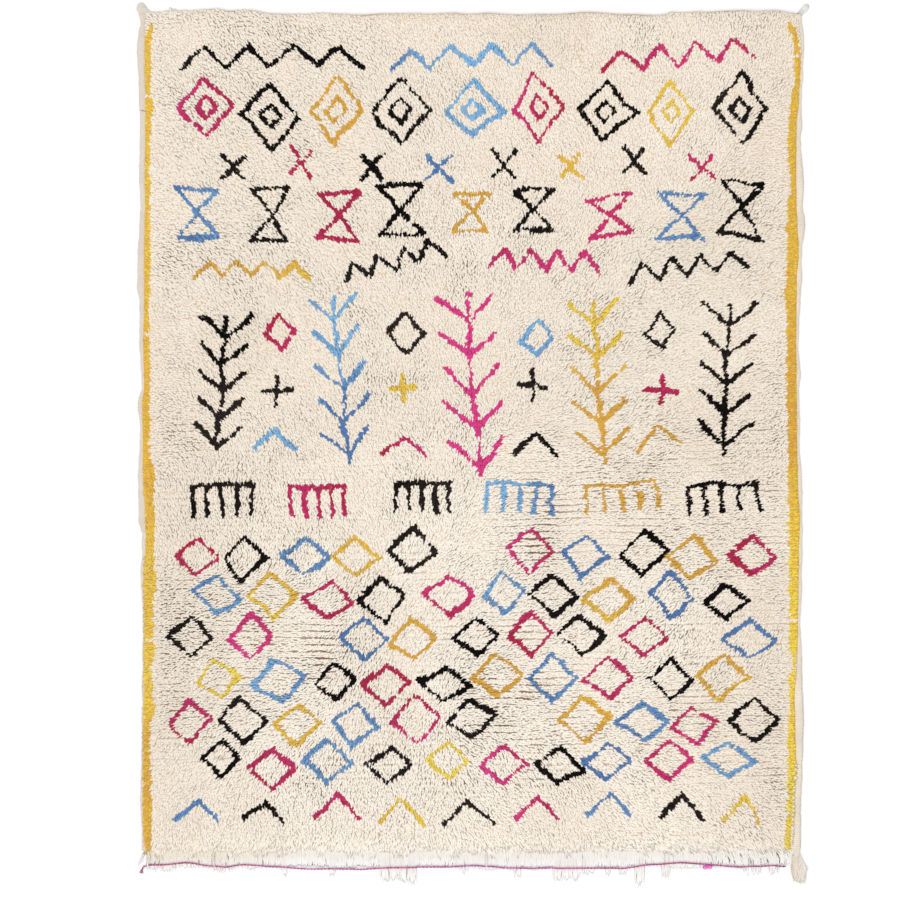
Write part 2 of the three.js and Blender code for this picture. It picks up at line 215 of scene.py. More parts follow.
THREAD_DIAMETER = 0.004
THREAD_ROUTE = np.array(
    [
        (-0.9885, 0.067, 0.0),
        (-0.986, 0.058, 0.0),
        (-0.983, 0.051, 0.2),
        (-0.974, 0.049, 0.7),
        (-0.965, 0.046, 1.0),
        (-0.918, 0.045, 1.0),
        (-0.855, 0.039, 1.0),
        (-0.777, 0.049, 1.0),
        (-0.738, 0.052, 1.0),
        (-0.684, 0.044, 1.0),
        (-0.603, 0.050, 1.0),
        (-0.471, 0.057, 1.0),
        (-0.321, 0.058, 1.0),
        (-0.213, 0.053, 1.0),
        (-0.093, 0.052, 1.0),
        (0.009, 0.047, 1.0),
        (0.057, 0.050, 1.0),
        (0.102, 0.055, 1.0),
        (0.267, 0.055, 1.0),
        (0.456, 0.055, 1.0),
        (0.552, 0.043, 1.0),
        (0.630, 0.039, 1.0),
        (0.702, 0.043, 1.0),
        (0.792, 0.051, 1.0),
        (0.912, 0.048, 1.0),
        (0.945, 0.050, 1.0),
    ],
    [("across", float), ("drop", float), ("lift", float)],
)

BOW_ACROSS = 0.709
BOW_DEPTH = 0.012
BOW_HEIGHT = 0.005
BOW_GAP = 0.001

# The lie of the pile: the line that its tufts lie along at chosen places, in degrees from +X

NAP = np.array(
    [
        (-0.95, 1.22, -38),
        (-0.84, 1.16, -52),
        (-0.48, 1.14, -62),
        (-0.15, 1.11, -80),
        (0.15, 1.11, -90),
        (0.45, 1.11, -92),
        (0.69, 1.11, -102),
        (0.93, 1.14, -118),
        (-0.90, 0.84, -40),
        (-0.45, 0.87, -35),
        (-0.72, 0.69, -46),
        (0.45, 0.90, -95),
        (0.66, 0.96, -105),
        (0.93, 0.84, -160),
        (-0.90, 0.63, -32),
        (-0.03, 0.63, -90),
        (0.24, 0.51, -115),
        (0.81, 0.54, -150),
        (-0.90, 0.33, -40),
        (-0.66, 0.39, -64),
        (-0.21, 0.39, -85),
        (0.58, 0.15, -143),
        (0.18, 0.15, -122),
        (0.87, 0.18, -157),
        (-0.92, 0.06, -12),
        (-0.75, 0.20, -60),
        (-0.42, 0.03, -78),
        (-0.02, 0.09, -88),
        (0.21, -0.06, -165),
        (0.46, -0.21, -170),
        (0.87, -0.15, -148),
        (0.88, -0.33, -165),
        (-0.75, -0.21, -90),
        (-0.81, -0.63, -172),
        (-0.56, -0.72, -172),
        (-0.81, -0.78, -158),
        (-0.81, -1.05, -132),
        (-0.81, -1.21, -100),
        (-0.57, -1.11, -92),
        (-0.27, -0.75, -105),
        (0.19, -0.81, -172),
        (0.15, -1.08, -52),
        (0.42, -0.54, -130),
        (0.75, -0.67, -125),
        (0.60, -0.87, -178),
        (0.90, -0.87, -178),
        (0.42, -1.11, -50),
        (0.75, -1.18, -50),
        (-0.21, -1.20, -92),
        (0.27, -1.25, -85),
    ],
    [("across", float), ("up", float), ("degrees", float)],
)

# Where the pile has come apart: an old fold down the middle, and the upper left corner

FOLD = {"across": -0.018, "reach": 0.035, "from": 0.62, "to": -0.30}
OPEN_CORNER = {"across": -0.955, "up": 1.225, "reach": 0.028}

# The yellow borders from the upper end down: how far across their outer edge lies, then their inner one with
# what yellow they have, from 0, ochre, to 1, lemon

BORDER_ROW = [("along", float), ("inner", float), ("tone", float)]
LEFT_BORDER_OUTER = np.array(
    [(0.034, -0.961), (0.058, -0.971), (0.080, -0.982), (0.110, -1.010), (2.510, -1.010)],
    [("along", float), ("outer", float)],
)
RIGHT_BORDER_OUTER = np.array(
    [
        (0.034, 0.962),
        (0.048, 0.972),
        (0.084, 0.981),
        (0.201, 1.004),
        (1.760, 1.010),
        (1.881, 0.981),
        (1.956, 0.972),
        (2.211, 0.974),
        (2.391, 0.965),
        (2.451, 0.960),
        (2.505, 0.956),
    ],
    [("along", float), ("outer", float)],
)
LEFT_BORDER = np.array(
    [
        (0.044, -0.951, 0.30),
        (0.060, -0.955, 0.50),
        (0.111, -0.958, 0.45),
        (0.225, -0.959, 0.50),
        (0.291, -0.953, 0.45),
        (0.381, -0.961, 0.45),
        (0.561, -0.961, 0.45),
        (0.741, -0.959, 0.45),
        (0.951, -0.965, 0.40),
        (1.050, -0.959, 0.30),
        (1.150, -0.961, 0.20),
        (1.311, -0.963, 0.20),
        (1.386, -0.947, 0.20),
        (1.461, -0.952, 0.25),
        (1.506, -0.946, 0.30),
        (1.641, -0.950, 0.50),
        (1.710, -0.944, 0.45),
        (1.761, -0.952, 0.45),
        (1.866, -0.953, 0.50),
        (1.911, -0.946, 0.55),
        (1.971, -0.959, 0.55),
        (2.091, -0.950, 0.50),
        (2.151, -0.961, 0.10),
        (2.361, -0.957, 0.10),
        (2.490, -0.958, 0.10),
    ],
    BORDER_ROW,
)
RIGHT_BORDER = np.array(
    [
        (0.034, 0.947, 0.15),
        (0.081, 0.961, 0.30),
        (0.111, 0.968, 0.35),
        (0.201, 0.970, 0.35),
        (0.255, 0.958, 0.35),
        (0.321, 0.953, 0.40),
        (0.381, 0.946, 0.40),
        (0.531, 0.956, 0.35),
        (0.576, 0.947, 0.35),
        (0.741, 0.945, 0.35),
        (0.852, 0.940, 0.30),
        (0.921, 0.945, 0.20),
        (1.161, 0.946, 0.05),
        (1.311, 0.951, 0.05),
        (1.401, 0.949, 0.40),
        (1.551, 0.952, 0.70),
        (1.700, 0.953, 0.95),
        (1.881, 0.954, 1.00),
        (1.956, 0.964, 1.00),
        (2.001, 0.951, 1.00),
        (2.091, 0.956, 0.95),
        (2.166, 0.947, 0.95),
        (2.301, 0.949, 0.95),
        (2.391, 0.949, 0.80),
        (2.451, 0.940, 0.75),
        (2.505, 0.938, 0.80),
    ],
    BORDER_ROW,
)

# Breaks in the yellow borders, by how far down they are, for the left side, -1, and the right one, 1

BORDER_GAPS = {-1: (0.250, 0.966, 1.881, 2.316), 1: (0.130, 1.821)}
BORDER_GAP_REACH = 0.0035

# The field's motifs in bands: the kind, the colours from left to right with None for a bare place, how far
# across the first one is, the step to the next, how far up the band is, and a motif's width and height

BAND_COLUMNS = ("kind", "colours", "first", "step", "up", "width", "height")
BANDS = (
    ("zigzag", ("black", "blue", "pink"), -0.60, 0.61, 1.130, 0.50, 0.060),
    (
        "nested lozenge",
        ("pink", "black", "yellow", "black", "blue", "pink", "black", "yellow", "black"),
        -0.80,
        0.20,
        0.955,
        0.165,
        0.190,
    ),
    (
        "saltire",
        ("black", "pink", "black", "blue", "black", "yellow", "black", "pink"),
        -0.70,
        0.20,
        0.800,
        0.065,
        0.070,
    ),
    (
        "hourglass",
        ("blue", "black", "pink", "black", "yellow", "black", "pink", "blue", "black"),
        -0.82,
        0.205,
        0.655,
        0.120,
        0.140,
    ),
    ("zigzag", ("yellow", "black", "pink", "black"), -0.66, 0.44, 0.500, 0.34, 0.055),
    ("fern", ("black", "blue", "pink", "yellow", "black"), -0.76, 0.38, 0.150, 0.150, 0.480),
    ("lozenge", ("pink", "black", "blue", "black"), -0.57, 0.38, 0.290, 0.095, 0.105),
    ("cross", ("black", "yellow", "black", "pink"), -0.57, 0.38, 0.130, 0.085, 0.085),
    ("chevron", ("blue", "pink", "black", "yellow"), -0.57, 0.38, -0.030, 0.120, 0.060),
    ("comb", ("black", "pink", "black", "blue", "yellow", "black"), -0.75, 0.30, -0.200, 0.190, 0.080),
    (
        "lozenge",
        ("pink", "black", "blue", "yellow", "black", None, "pink", "blue", "black", "yellow", "pink"),
        -0.840,
        0.168,
        -0.370,
        0.138,
        0.120,
    ),
    (
        "lozenge",
        ("blue", "yellow", "pink", "black", "pink", "blue", "black", "yellow", "blue", "black"),
        -0.756,
        0.168,
        -0.495,
        0.138,
        0.120,
    ),
    (
        "lozenge",
        ("black", "pink", None, "blue", "yellow", "black", "pink", "black", "pink", None, "blue"),
        -0.840,
        0.168,
        -0.620,
        0.138,
        0.120,
    ),
    (
        "lozenge",
        ("yellow", "blue", "black", "pink", "black", "yellow", "blue", "pink", "black", "yellow"),
        -0.756,
        0.168,
        -0.745,
        0.138,
        0.120,
    ),
    (
        "lozenge",
        ("pink", "black", "yellow", "blue", "pink", "black", None, "yellow", "blue", "pink", "black"),
        -0.840,
        0.168,
        -0.870,
        0.138,
        0.120,
    ),
    (
        "lozenge",
        ("black", "pink", "blue", "black", "yellow", "pink", "black", "blue", "pink", "blue"),
        -0.756,
        0.168,
        -0.995,
        0.138,
        0.120,
    ),
    (
        "chevron",
        ("blue", "black", "pink", "yellow", "black", "pink", "blue", "black", "yellow"),
        -0.820,
        0.205,
        -1.130,
        0.130,
        0.065,
    ),
)

# Outlines of the motifs in a box one wide and one high around the origin. Each is a list of open lines

LOZENGE = [(0, 0.5), (0.5, 0), (0, -0.5), (-0.5, 0), (0, 0.5)]
INNER_SIZE = 0.36
MOTIF_LINES = {
    "lozenge": [LOZENGE],
    "nested lozenge": [LOZENGE, [(x * INNER_SIZE, y * INNER_SIZE) for x, y in LOZENGE]],
    "saltire": [[(-0.5, -0.5), (0.5, 0.5)], [(-0.5, 0.5), (0.5, -0.5)]],
    "cross": [[(-0.5, 0), (0.5, 0)], [(0, 0.5), (0, -0.5)]],
    "hourglass": [[(-0.5, 0.5), (0.5, 0.5), (-0.5, -0.5), (0.5, -0.5), (-0.5, 0.5)]],
    "chevron": [[(-0.5, -0.5), (0, 0.5), (0.5, -0.5)]],
    "zigzag": [[(step / 8 - 0.5, step % 2 - 0.5) for step in range(9)]],
    "comb": [[(-0.5, 0.5), (0.5, 0.5)]] + [[(x / 4 - 0.5, 0.5), (x / 4 - 0.5, -0.5)] for x in range(5)],
    "fern": [[(0, 0.5), (0, -0.5)]]
    + [[(-0.5, y / 5 - 0.3), (0, y / 5 - 0.45), (0.5, y / 5 - 0.3)] for y in range(5)],
}

WOOLS = ("cream", "yellow", "pink", "blue", "black")

# A strand's map lies in one of the shade rows, which come in equal groups, one for each tone. A cream tuft in
# the dash row has a brown dash: a speck of brown fibre on a few, and painted shade of the slits between tufts
# on the rest. About that share of the tufts has one where they stand well apart

BAKE_MAP = "OFBake"
SHADE_ROWS = 32
TONES = 4
SPECK_AND_SLIT_SHADE_ROW = 0
SPECK_AND_SLIT_SHADE_SHARE = 0.030

# A strand's map keeps this share of a row clear round it, and this share of the width clear at its ends

ROUND_MARGIN = 0.08
END_MARGIN = 0.01

# The share of a tuft's length from its root to its knee

KNEE_SHARE = 0.44

# The ground cloth's point attribute with the colour of the wool between the tufts

WOOL_COLOUR = "wool"

def screen(red, green, blue):
    """A colour as light from its values on a screen, from 0 to 255."""
    value = np.array((red, green, blue)) / 255
    light = np.where(value <= 0.04045, value / 12.92, ((value + 0.055) / 1.055) ** 2.4)
    return tuple(float(x) for x in light)


# Colours that no setting holds

# Brown of the dash: a speck of fibre on a few tufts, painted shade of the slits between tufts on the rest
SPECK_AND_SLIT_SHADE_BROWN = screen(126, 96, 74)
WARM_TINT = screen(250, 242, 228)
# Painted shade down a cord's flanks
CORD_FLANK_SHADE = screen(204, 200, 196)
CORD_MARK_RED = screen(168, 92, 84)


# Settings


def length_setting(name, description, default):
    """A length that a user may change, in metres."""
    return FloatProperty(name=name, description=description, default=default, unit="LENGTH")


def colour_setting(name, description, red, green, blue):
    """A colour that a user may change, given by its values on a screen."""
    light = screen(red, green, blue)
    return FloatVectorProperty(name=name, description=description, subtype="COLOR", default=light)


class PileSettings(bpy.types.PropertyGroup):
    """Sizes and colours of the wool pile."""

    bands: IntProperty(name="Bands", description="Bands of knots from end to end", default=126, min=8)
    band_rows: IntProperty(name="Rows in a band", description="Rows of tufts in a band", default=3, min=1)
    columns: IntProperty(name="Columns", description="Tufts in a row", default=338, min=20)
    pieces: IntProperty(name="Cream pieces", description="Pieces of the cream pile", default=4, min=4)
    length: length_setting("Tuft length", "Length of a tuft", 0.025)
    width: length_setting("Tuft width", "Width of a tuft", 0.0088)
    thickness: length_setting("Tuft thickness", "Height of a tuft's own section", 0.0036)
    height: length_setting("Pile height", "Height of the pile", 0.0135)
    depth: length_setting("Bed depth", "Depth of the wool between the tufts under their tops", 0.0026)
    line: length_setting("Line width", "Width of a drawn line", 0.0125)
    # The bed, browner than the tufts, is partly the wool's own colour and partly painted shade deep in the
    # pile. The dark bed, mixed in where tufts stand apart, is brown wool deep down and painted shade in the
    # gaps.
    bed: colour_setting("Bed", "Natural wool between the tufts", 222, 200, 176)
    bed_brown_and_shade: colour_setting("Brown bed and shade", "Natural wool deep down where the tufts stand apart", 150, 112, 80)
    cream: colour_setting("Cream", "Natural wool, deepest", 240, 229, 213)
    pale_cream: colour_setting("Pale cream", "Natural wool, palest", 248, 239, 226)
    yellow: colour_setting("Ochre", "Yellow wool, deepest", 220, 170, 58)
    lemon: colour_setting("Lemon", "Yellow wool, lightest", 240, 216, 78)
    pink: colour_setting("Crimson", "Pink wool, deepest", 182, 20, 74)
    rose: colour_setting("Rose", "Pink wool, lightest", 222, 58, 140)
    blue: colour_setting("Deep blue", "Blue wool, deepest", 86, 126, 178)
    sky: colour_setting("Sky blue", "Blue wool, lightest", 136, 186, 224)
    black: colour_setting("Black", "Black wool, deepest", 16, 12, 10)
    charcoal: colour_setting("Charcoal", "Black wool, lightest", 46, 38, 34)


class EdgeSettings(bpy.types.PropertyGroup):
    """Sizes and colours of the ground cloth, the cords, the corners, the fringe, the thread and the bow."""

    turns: IntProperty(name="Cord turns", description="Turns of wool round a side cord", default=416, min=32)
    threads: IntProperty(name="Warp threads", description="Warp threads in the fringe", default=1150, min=10)
    thread_width: length_setting("Warp width", "Width of a warp thread", 0.0095)
    ground: colour_setting("Ground", "Woven ground", 206, 186, 160)
    weft: colour_setting("Brown weft", "Rows of brown weft", 168, 128, 96)
    # Painted shade: the brown strips under the warp ends, which show in the gaps between them
    fringe_shade_brown: colour_setting("Fringe shade", "Wefts under the warp ends", 140, 122, 106)
    cord: colour_setting("Right cord", "Wool of the right cord", 229, 216, 199)
    left_cord: colour_setting("Left cord", "Wool of the left cord", 218, 204, 189)
    end_cord: colour_setting("End cord", "Thin cord along the upper end", 214, 206, 192)
    loop: colour_setting("Corner loop", "Felt of the corner loop", 213, 204, 190)
    # The loop rim colour is painted shade down the loop's flanks and at its end
    loop_rim_shade: colour_setting("Loop rim shade", "Felt down the loop's flanks and at its end", 206, 206, 198)
    soft_end: colour_setting("Corner end", "Yarns of the corner end, deepest", 224, 223, 219)
    soft_end_light: colour_setting("Light corner end", "Yarns of the corner end, lightest", 230, 229, 225)
    tuft: colour_setting("Edge tuft", "Loose tuft on the upper edge, deepest", 246, 238, 226)
    tuft_light: colour_setting("Light edge tuft", "Loose tuft on the upper edge, lightest", 250, 246, 238)
    warp: colour_setting("Warp", "Warp ends, darkest", 229, 219, 203)
    warp_white: colour_setting("White warp", "Warp ends, lightest", 231, 226, 219)
    tassel: colour_setting("Tassel", "Wool of the tassel", 226, 214, 199)
    tassel_light: colour_setting("Light tassel", "The tassel's loose outer yarns", 232, 228, 218)
    wisp: colour_setting("Wisp", "Wisp, deepest", 240, 234, 240)
    wisp_light: colour_setting("Light wisp", "Wisp, lightest", 247, 244, 247)
    thread: colour_setting("Thread", "Pink thread near its ends", 182, 78, 130)
    thread_light: colour_setting("Light thread", "Pink thread in its middle", 204, 106, 178)
    bow: colour_setting("Bow", "Bow", 232, 78, 190)
    bow_light: colour_setting("Light bow", "Bow's lightest yarn", 246, 160, 220)


class StageSettings(bpy.types.PropertyGroup):
    """The floor, the light and the camera."""

    lens: FloatProperty(name="Lens", description="Focal length", default=120, unit="CAMERA")
    distance: length_setting("Camera height", "Height of the camera over the floor", 9.0)
    key: FloatProperty(name="Key light", description="Strength of the soft key light", default=1.1)
    fill: FloatProperty(name="Fill light", description="Strength of the light from all round", default=0.90)
    floor: colour_setting("Floor", "Floor colour", 250, 250, 250)


# The cloth's plan. A place on it has two shares: u from the left side to the right, v from the lower end up


def smooth_step(share):
    """Share squared times three less two shares, after clamping to 0 and 1."""
    share = np.clip(share, 0, 1)
    return share * share * (3 - 2 * share)


def read_table(table, column, place):
    """A table's column at places along its first one, with a smooth step from row to row."""
    keys, values = table[table.dtype.names[0]], table[column]
    after = np.clip(np.searchsorted(keys, place), 1, len(keys) - 1)
    share = smooth_step((place - keys[after - 1]) / (keys[after] - keys[after - 1]))
    return values[after - 1] + (values[after] - values[after - 1]) * share


def side_table(side):
    """The left side's table for -1 and the right side's for 1."""
    return LEFT_SIDE if side < 0 else RIGHT_SIDE


def cord_outer(side, v):
    """Half the cloth's width and what the side's table adds, to the left or the right."""
    return side * (CLOTH_WIDTH / 2 + read_table(side_table(side), "out", (1 - v) * CLOTH_LENGTH))


def cloth_side(side, v):
    """The cord's outer edge less the cord's width."""
    return cord_outer(side, v) - side * read_table(side_table(side), "cord", (1 - v) * CLOTH_LENGTH)


def cloth_end(side, across):
    """Half the cloth's length and what the end's table adds, downwards or upwards."""
    return side * CLOTH_LENGTH / 2 + read_table(LOWER_END if side < 0 else UPPER_END, "rise", across)


def cloth_place(u, v):
    """A straight mix of the two sides by u and of the two ends by v."""
    left, right = cloth_side(-1, v), cloth_side(1, v)
    across = (u - 0.5) * CLOTH_WIDTH
    lower, upper = cloth_end(-1, across), cloth_end(1, across)
    return left + (right - left) * u, lower + (upper - lower) * v


def lattice_noise(x, y, size, seed):
    """Smooth values from 0 to 1: random numbers on a square lattice, mixed with a smooth step between them.
    size is the lattice's pitch, and seed picks its numbers."""
    side = 64
    lattice = np.random.default_rng(seed).random((side, side))
    column, row = x / size, y / size
    i, j = np.floor(column).astype(int), np.floor(row).astype(int)
    s, t = smooth_step(column - i), smooth_step(row - j)
    near = lattice[i % side, j % side] * (1 - s) + lattice[(i + 1) % side, j % side] * s
    far = lattice[i % side, (j + 1) % side] * (1 - s) + lattice[(i + 1) % side, (j + 1) % side] * s
    return near * (1 - t) + far * t


def swing(x, y, size, seed):
    """Smooth values from -1 to 1: twice the lattice noise, less one."""
    return lattice_noise(x, y, size, seed) * 2 - 1


def thread_place(across):
    """The pink thread's y and height where it is the given way across. The drop is taken off the straight
    lower end, and the lift carries it from the floor up onto the warp ends."""
    y = -CLOTH_LENGTH / 2 - read_table(THREAD_ROUTE, "drop", across)
    lift = read_table(THREAD_ROUTE, "lift", across)
    return y, THREAD_DIAMETER / 2 + HAIR + lift * (STRAND_HEIGHT + PIECE_GAP)


def bow_middle():
    """The bow lies below the thread, a small gap from it, on the warp ends."""
    y = thread_place(BOW_ACROSS)[0] - THREAD_DIAMETER / 2 - BOW_GAP - BOW_DEPTH / 2
    return np.array((BOW_ACROSS, y, STRAND_HEIGHT + PIECE_GAP + BOW_HEIGHT / 2 + HAIR))


def cloth_shift():
    """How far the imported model's frame is from the cloth's own, which the bow's box tells."""
    low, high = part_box("thread_bow")
    shift = (np.array(low) + np.array(high)) / 2 - bow_middle()
    return np.array((shift[0], shift[1], 0))


CLOTH_SHIFT = cloth_shift()


# Meshes


def unit(vectors):
    """Each vector over its own length."""
    return vectors / np.maximum(np.linalg.norm(vectors, axis=-1, keepdims=True), 1e-12)


def round_profile(sides, turn=0.0):
    """Points of a circle of radius one, starting the given part of a turn past the across direction."""
    angle = 2 * np.pi * (np.arange(sides) / sides + turn)
    return np.stack([np.cos(angle), np.sin(angle)], 1)


def level_across(path):
    """The level direction to the left of each strand at each of its rings."""
    run = path[:, 2:] - path[:, :-2]
    left = np.stack([-run[..., 1], run[..., 0], np.zeros(run.shape[:2])], -1)
    return unit(left)


def strand_points(path, across, width, height, profile):
    """Points of many strands. A path has a root point, the middles of the rings and a tip. A ring's point is
    its middle, plus the profile's first number times half the width across, plus its second times half the
    height along up, which is square to the strand and to across."""
    middles = path[:, 1:-1]
    up = unit(np.cross(path[:, 2:] - path[:, :-2], across))
    sideways = (across * width[..., None] / 2)[:, :, None] * profile[:, 0, None]
    upwards = (up * height[..., None] / 2)[:, :, None] * profile[:, 1, None]
    rings = middles[:, :, None] + sideways + upwards
    return np.concatenate([path[:, :1], rings.reshape(len(path), -1, 3), path[:, -1:]], 1)


def strand_pattern(rings, sides):
    """Faces of one strand: a fan from the root, two triangles between rings and sides, and a fan to the tip.
    Gives each corner's point, its station from 0 at the root and its share of the way round."""
    side = np.arange(sides)
    after = (side + 1) % sides
    half = side + 0.5
    tip, last = 1 + rings * sides, 1 + (rings - 1) * sides
    zero = np.zeros(sides)
    corners = [np.stack([0 * side, 1 + after, 1 + side], 1)]
    stations = [np.stack([zero, zero + 1, zero + 1], 1)]
    rounds = [np.stack([half, side + 1, side], 1)]
    for ring in range(rings - 1):
        a, b = 1 + ring * sides + side, 1 + ring * sides + after
        near, far = zero + ring + 1, zero + ring + 2
        corners += [np.stack([a, b, b + sides], 1), np.stack([a, b + sides, a + sides], 1)]
        stations += [np.stack([near, near, far], 1), np.stack([near, far, far], 1)]
        rounds += [np.stack([side, side + 1, side + 1], 1), np.stack([side, side + 1, side], 1)]
    corners.append(np.stack([last + side, last + after, tip + 0 * side], 1))
    stations.append(np.stack([zero + rings, zero + rings, zero + rings + 1], 1))
    rounds.append(np.stack([side, side + 1, half], 1))
    return np.concatenate(corners), np.concatenate(stations).astype(int), np.concatenate(rounds) / sides


def strand_mesh(path, across, width, height, profile, shade, stations=None, laps=1):
    """Points, faces and map of many strands. On the map a strand runs to the right and its round lies in one
    of the rows that SHADE_ROWS gives, so a material reads the row as its shade. A long strand takes several
    rows, one for each lap."""
    rings, sides = path.shape[1] - 2, len(profile)
    if stations is None:
        stations = np.linspace(0, 1, rings + 2)
    points = strand_points(path, across, width, height, profile)
    pattern, station, round_share = strand_pattern(rings, sides)
    faces = pattern + (np.arange(len(path)) * points.shape[1])[:, None, None]
    along = stations[station] * laps
    lap = np.floor(along.mean(1) - 1e-9)[:, None]
    row = (shade[:, None, None] + lap) % SHADE_ROWS
    run = END_MARGIN + (1 - 2 * END_MARGIN) * (along - lap)
    inside = ROUND_MARGIN + (1 - 2 * ROUND_MARGIN) * round_share
    places = np.stack(np.broadcast_arrays(run, (row + inside) / SHADE_ROWS), -1)
    return points.reshape(-1, 3), faces.reshape(-1, 3), places.reshape(-1, 2)


def join(parts):
    """One mesh from several, each of points, faces and map."""
    points, faces, places = zip(*parts)
    firsts = np.cumsum([0] + [len(each) for each in points[:-1]])
    faces = [each + first for each, first in zip(faces, firsts)]
    return np.concatenate(points), np.concatenate(faces), np.concatenate(places)


def add_piece(name, mesh_parts, material, slot, *nodes, underside=(), colours=None):
    """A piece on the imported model, which takes the place of the named nodes. Its mesh parts are points,
    triangles and the map's place for each corner, or None. An underside is one more face with any number of
    corners, and colours has red, green and blue for each point."""
    points, faces, places = mesh_parts
    corners = np.concatenate([faces.ravel(), np.array(underside, int)])
    starts = np.arange(0, faces.size + (1 if len(underside) else 0), 3)
    mesh = bpy.data.meshes.new(name)
    mesh.vertices.add(len(points))
    mesh.vertices.foreach_set("co", (points + CLOTH_SHIFT).astype(np.float32).ravel())
    mesh.loops.add(len(corners))
    mesh.loops.foreach_set("vertex_index", corners.astype(np.int32))
    mesh.polygons.add(len(starts))
    mesh.polygons.foreach_set("loop_start", starts.astype(np.int32))
    if places is not None:
        mesh.uv_layers.new(name=BAKE_MAP).data.foreach_set("uv", places.astype(np.float32).ravel())
    if colours is not None:
        dyed = mesh.color_attributes.new(WOOL_COLOUR, "FLOAT_COLOR", "POINT")
        solid = np.pad(colours, ((0, 0), (0, 1)), constant_values=1)
        dyed.data.foreach_set("color", solid.astype(np.float32).ravel())
    mesh.materials.append(material)
    mesh.update(calc_edges=True)
    mesh.shade_smooth()
    piece = bpy.data.objects.new(name, mesh)
    bpy.context.scene.collection.objects.link(piece)
    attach(piece, BODY)
    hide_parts(*nodes)


# Materials


def maths(tree, operation, first, second=None):
    """A Math node. Its inputs are sockets or numbers, and it gives its output socket."""
    node = tree.nodes.new("ShaderNodeMath")
    node.operation = operation
    for socket, value in zip(node.inputs, (first, second)):
        if isinstance(value, bpy.types.NodeSocket):
            tree.links.new(value, socket)
        elif value is not None:
            socket.default_value = value
    return node.outputs[0]


def spread(tree, value, low, high, to_low, to_high):
    """A Map Range node: the value's share of the way from low to high, clamped, as the same share of the way
    from to_low to to_high."""
    node = tree.nodes.new("ShaderNodeMapRange")
    for name, number in zip(("From Min", "From Max", "To Min", "To Max"), (low, high, to_low, to_high)):
        if isinstance(number, bpy.types.NodeSocket):
            tree.links.new(number, node.inputs[name])
        else:
            node.inputs[name].default_value = number
    tree.links.new(value, node.inputs["Value"])
    return node.outputs["Result"]


def mix_colour(tree, share, first, second, blend="MIX"):
    """A Mix node for colours. Its inputs are sockets, numbers or colours."""
    node = tree.nodes.new("ShaderNodeMix")
    node.data_type = "RGBA"
    node.blend_type = blend
    names = ("Factor_Float", "A_Color", "B_Color")
    sockets = [next(s for s in node.inputs if s.identifier == name) for name in names]
    for socket, value in zip(sockets, (share, first, second)):
        if isinstance(value, bpy.types.NodeSocket):
            tree.links.new(value, socket)
        elif isinstance(value, (int, float)):
            socket.default_value = value
        else:
            socket.default_value = (*value, 1)
    return next(s for s in node.outputs if s.identifier == "Result_Color")


def noise(tree, vector, scale, detail=2.0):
    """A Noise Texture node's value at a place."""
    node = tree.nodes.new("ShaderNodeTexNoise")
    node.inputs["Scale"].default_value = scale
    node.inputs["Detail"].default_value = detail
    tree.links.new(vector, node.inputs["Vector"])
    return node.outputs["Fac"]


def vector_of(tree, x, y, z):
    """A Combine XYZ node. Its inputs are sockets or numbers."""
    node = tree.nodes.new("ShaderNodeCombineXYZ")
    for socket, value in zip(node.inputs, (x, y, z)):
        if isinstance(value, bpy.types.NodeSocket):
            tree.links.new(value, socket)
        else:
            socket.default_value = value
    return node.outputs[0]


def axes_of(tree, vector):
    """A vector's X, Y and Z, from a Separate XYZ node."""
    node = tree.nodes.new("ShaderNodeSeparateXYZ")
    tree.links.new(vector, node.inputs[0])
    return node.outputs


def shaded(tree, colour, shade):
    """A colour times a shade."""
    return mix_colour(tree, 1.0, colour, vector_of(tree, shade, shade, shade), "MULTIPLY")


def distance_from(tree, value, middle):
    """The absolute value of a value less a middle."""
    return maths(tree, "ABSOLUTE", maths(tree, "SUBTRACT", value, middle))


def flank_share(tree, around):
    """How far a place on a strand is out to either side: the absolute cosine of its way round."""
    return maths(tree, "ABSOLUTE", maths(tree, "COSINE", maths(tree, "MULTIPLY", around, 2 * np.pi)))


def map_place(tree):
    """The run along a strand, its shade row and the share of the way round it."""
    place = tree.nodes.new("ShaderNodeUVMap")
    place.uv_map = BAKE_MAP
    parts = axes_of(tree, place.outputs["UV"])
    rows = maths(tree, "MULTIPLY", parts["Y"], SHADE_ROWS)
    return parts["X"], maths(tree, "FLOOR", rows), maths(tree, "FRACT", rows)


def object_place(tree):
    """The place in the piece's own coordinates."""
    return tree.nodes.new("ShaderNodeTexCoord").outputs["Object"]


def new_group(name, inputs, outputs):
    """A shader group with named sockets. Gives the tree, its input node and its output node."""
    tree = bpy.data.node_groups.new(name, "ShaderNodeTree")
    for socket, kind, value in inputs:
        made = tree.interface.new_socket(socket, in_out="INPUT", socket_type=kind)
        made.default_value = value
    for socket, kind in outputs:
        tree.interface.new_socket(socket, in_out="OUTPUT", socket_type=kind)
    return tree, tree.nodes.new("NodeGroupInput"), tree.nodes.new("NodeGroupOutput")


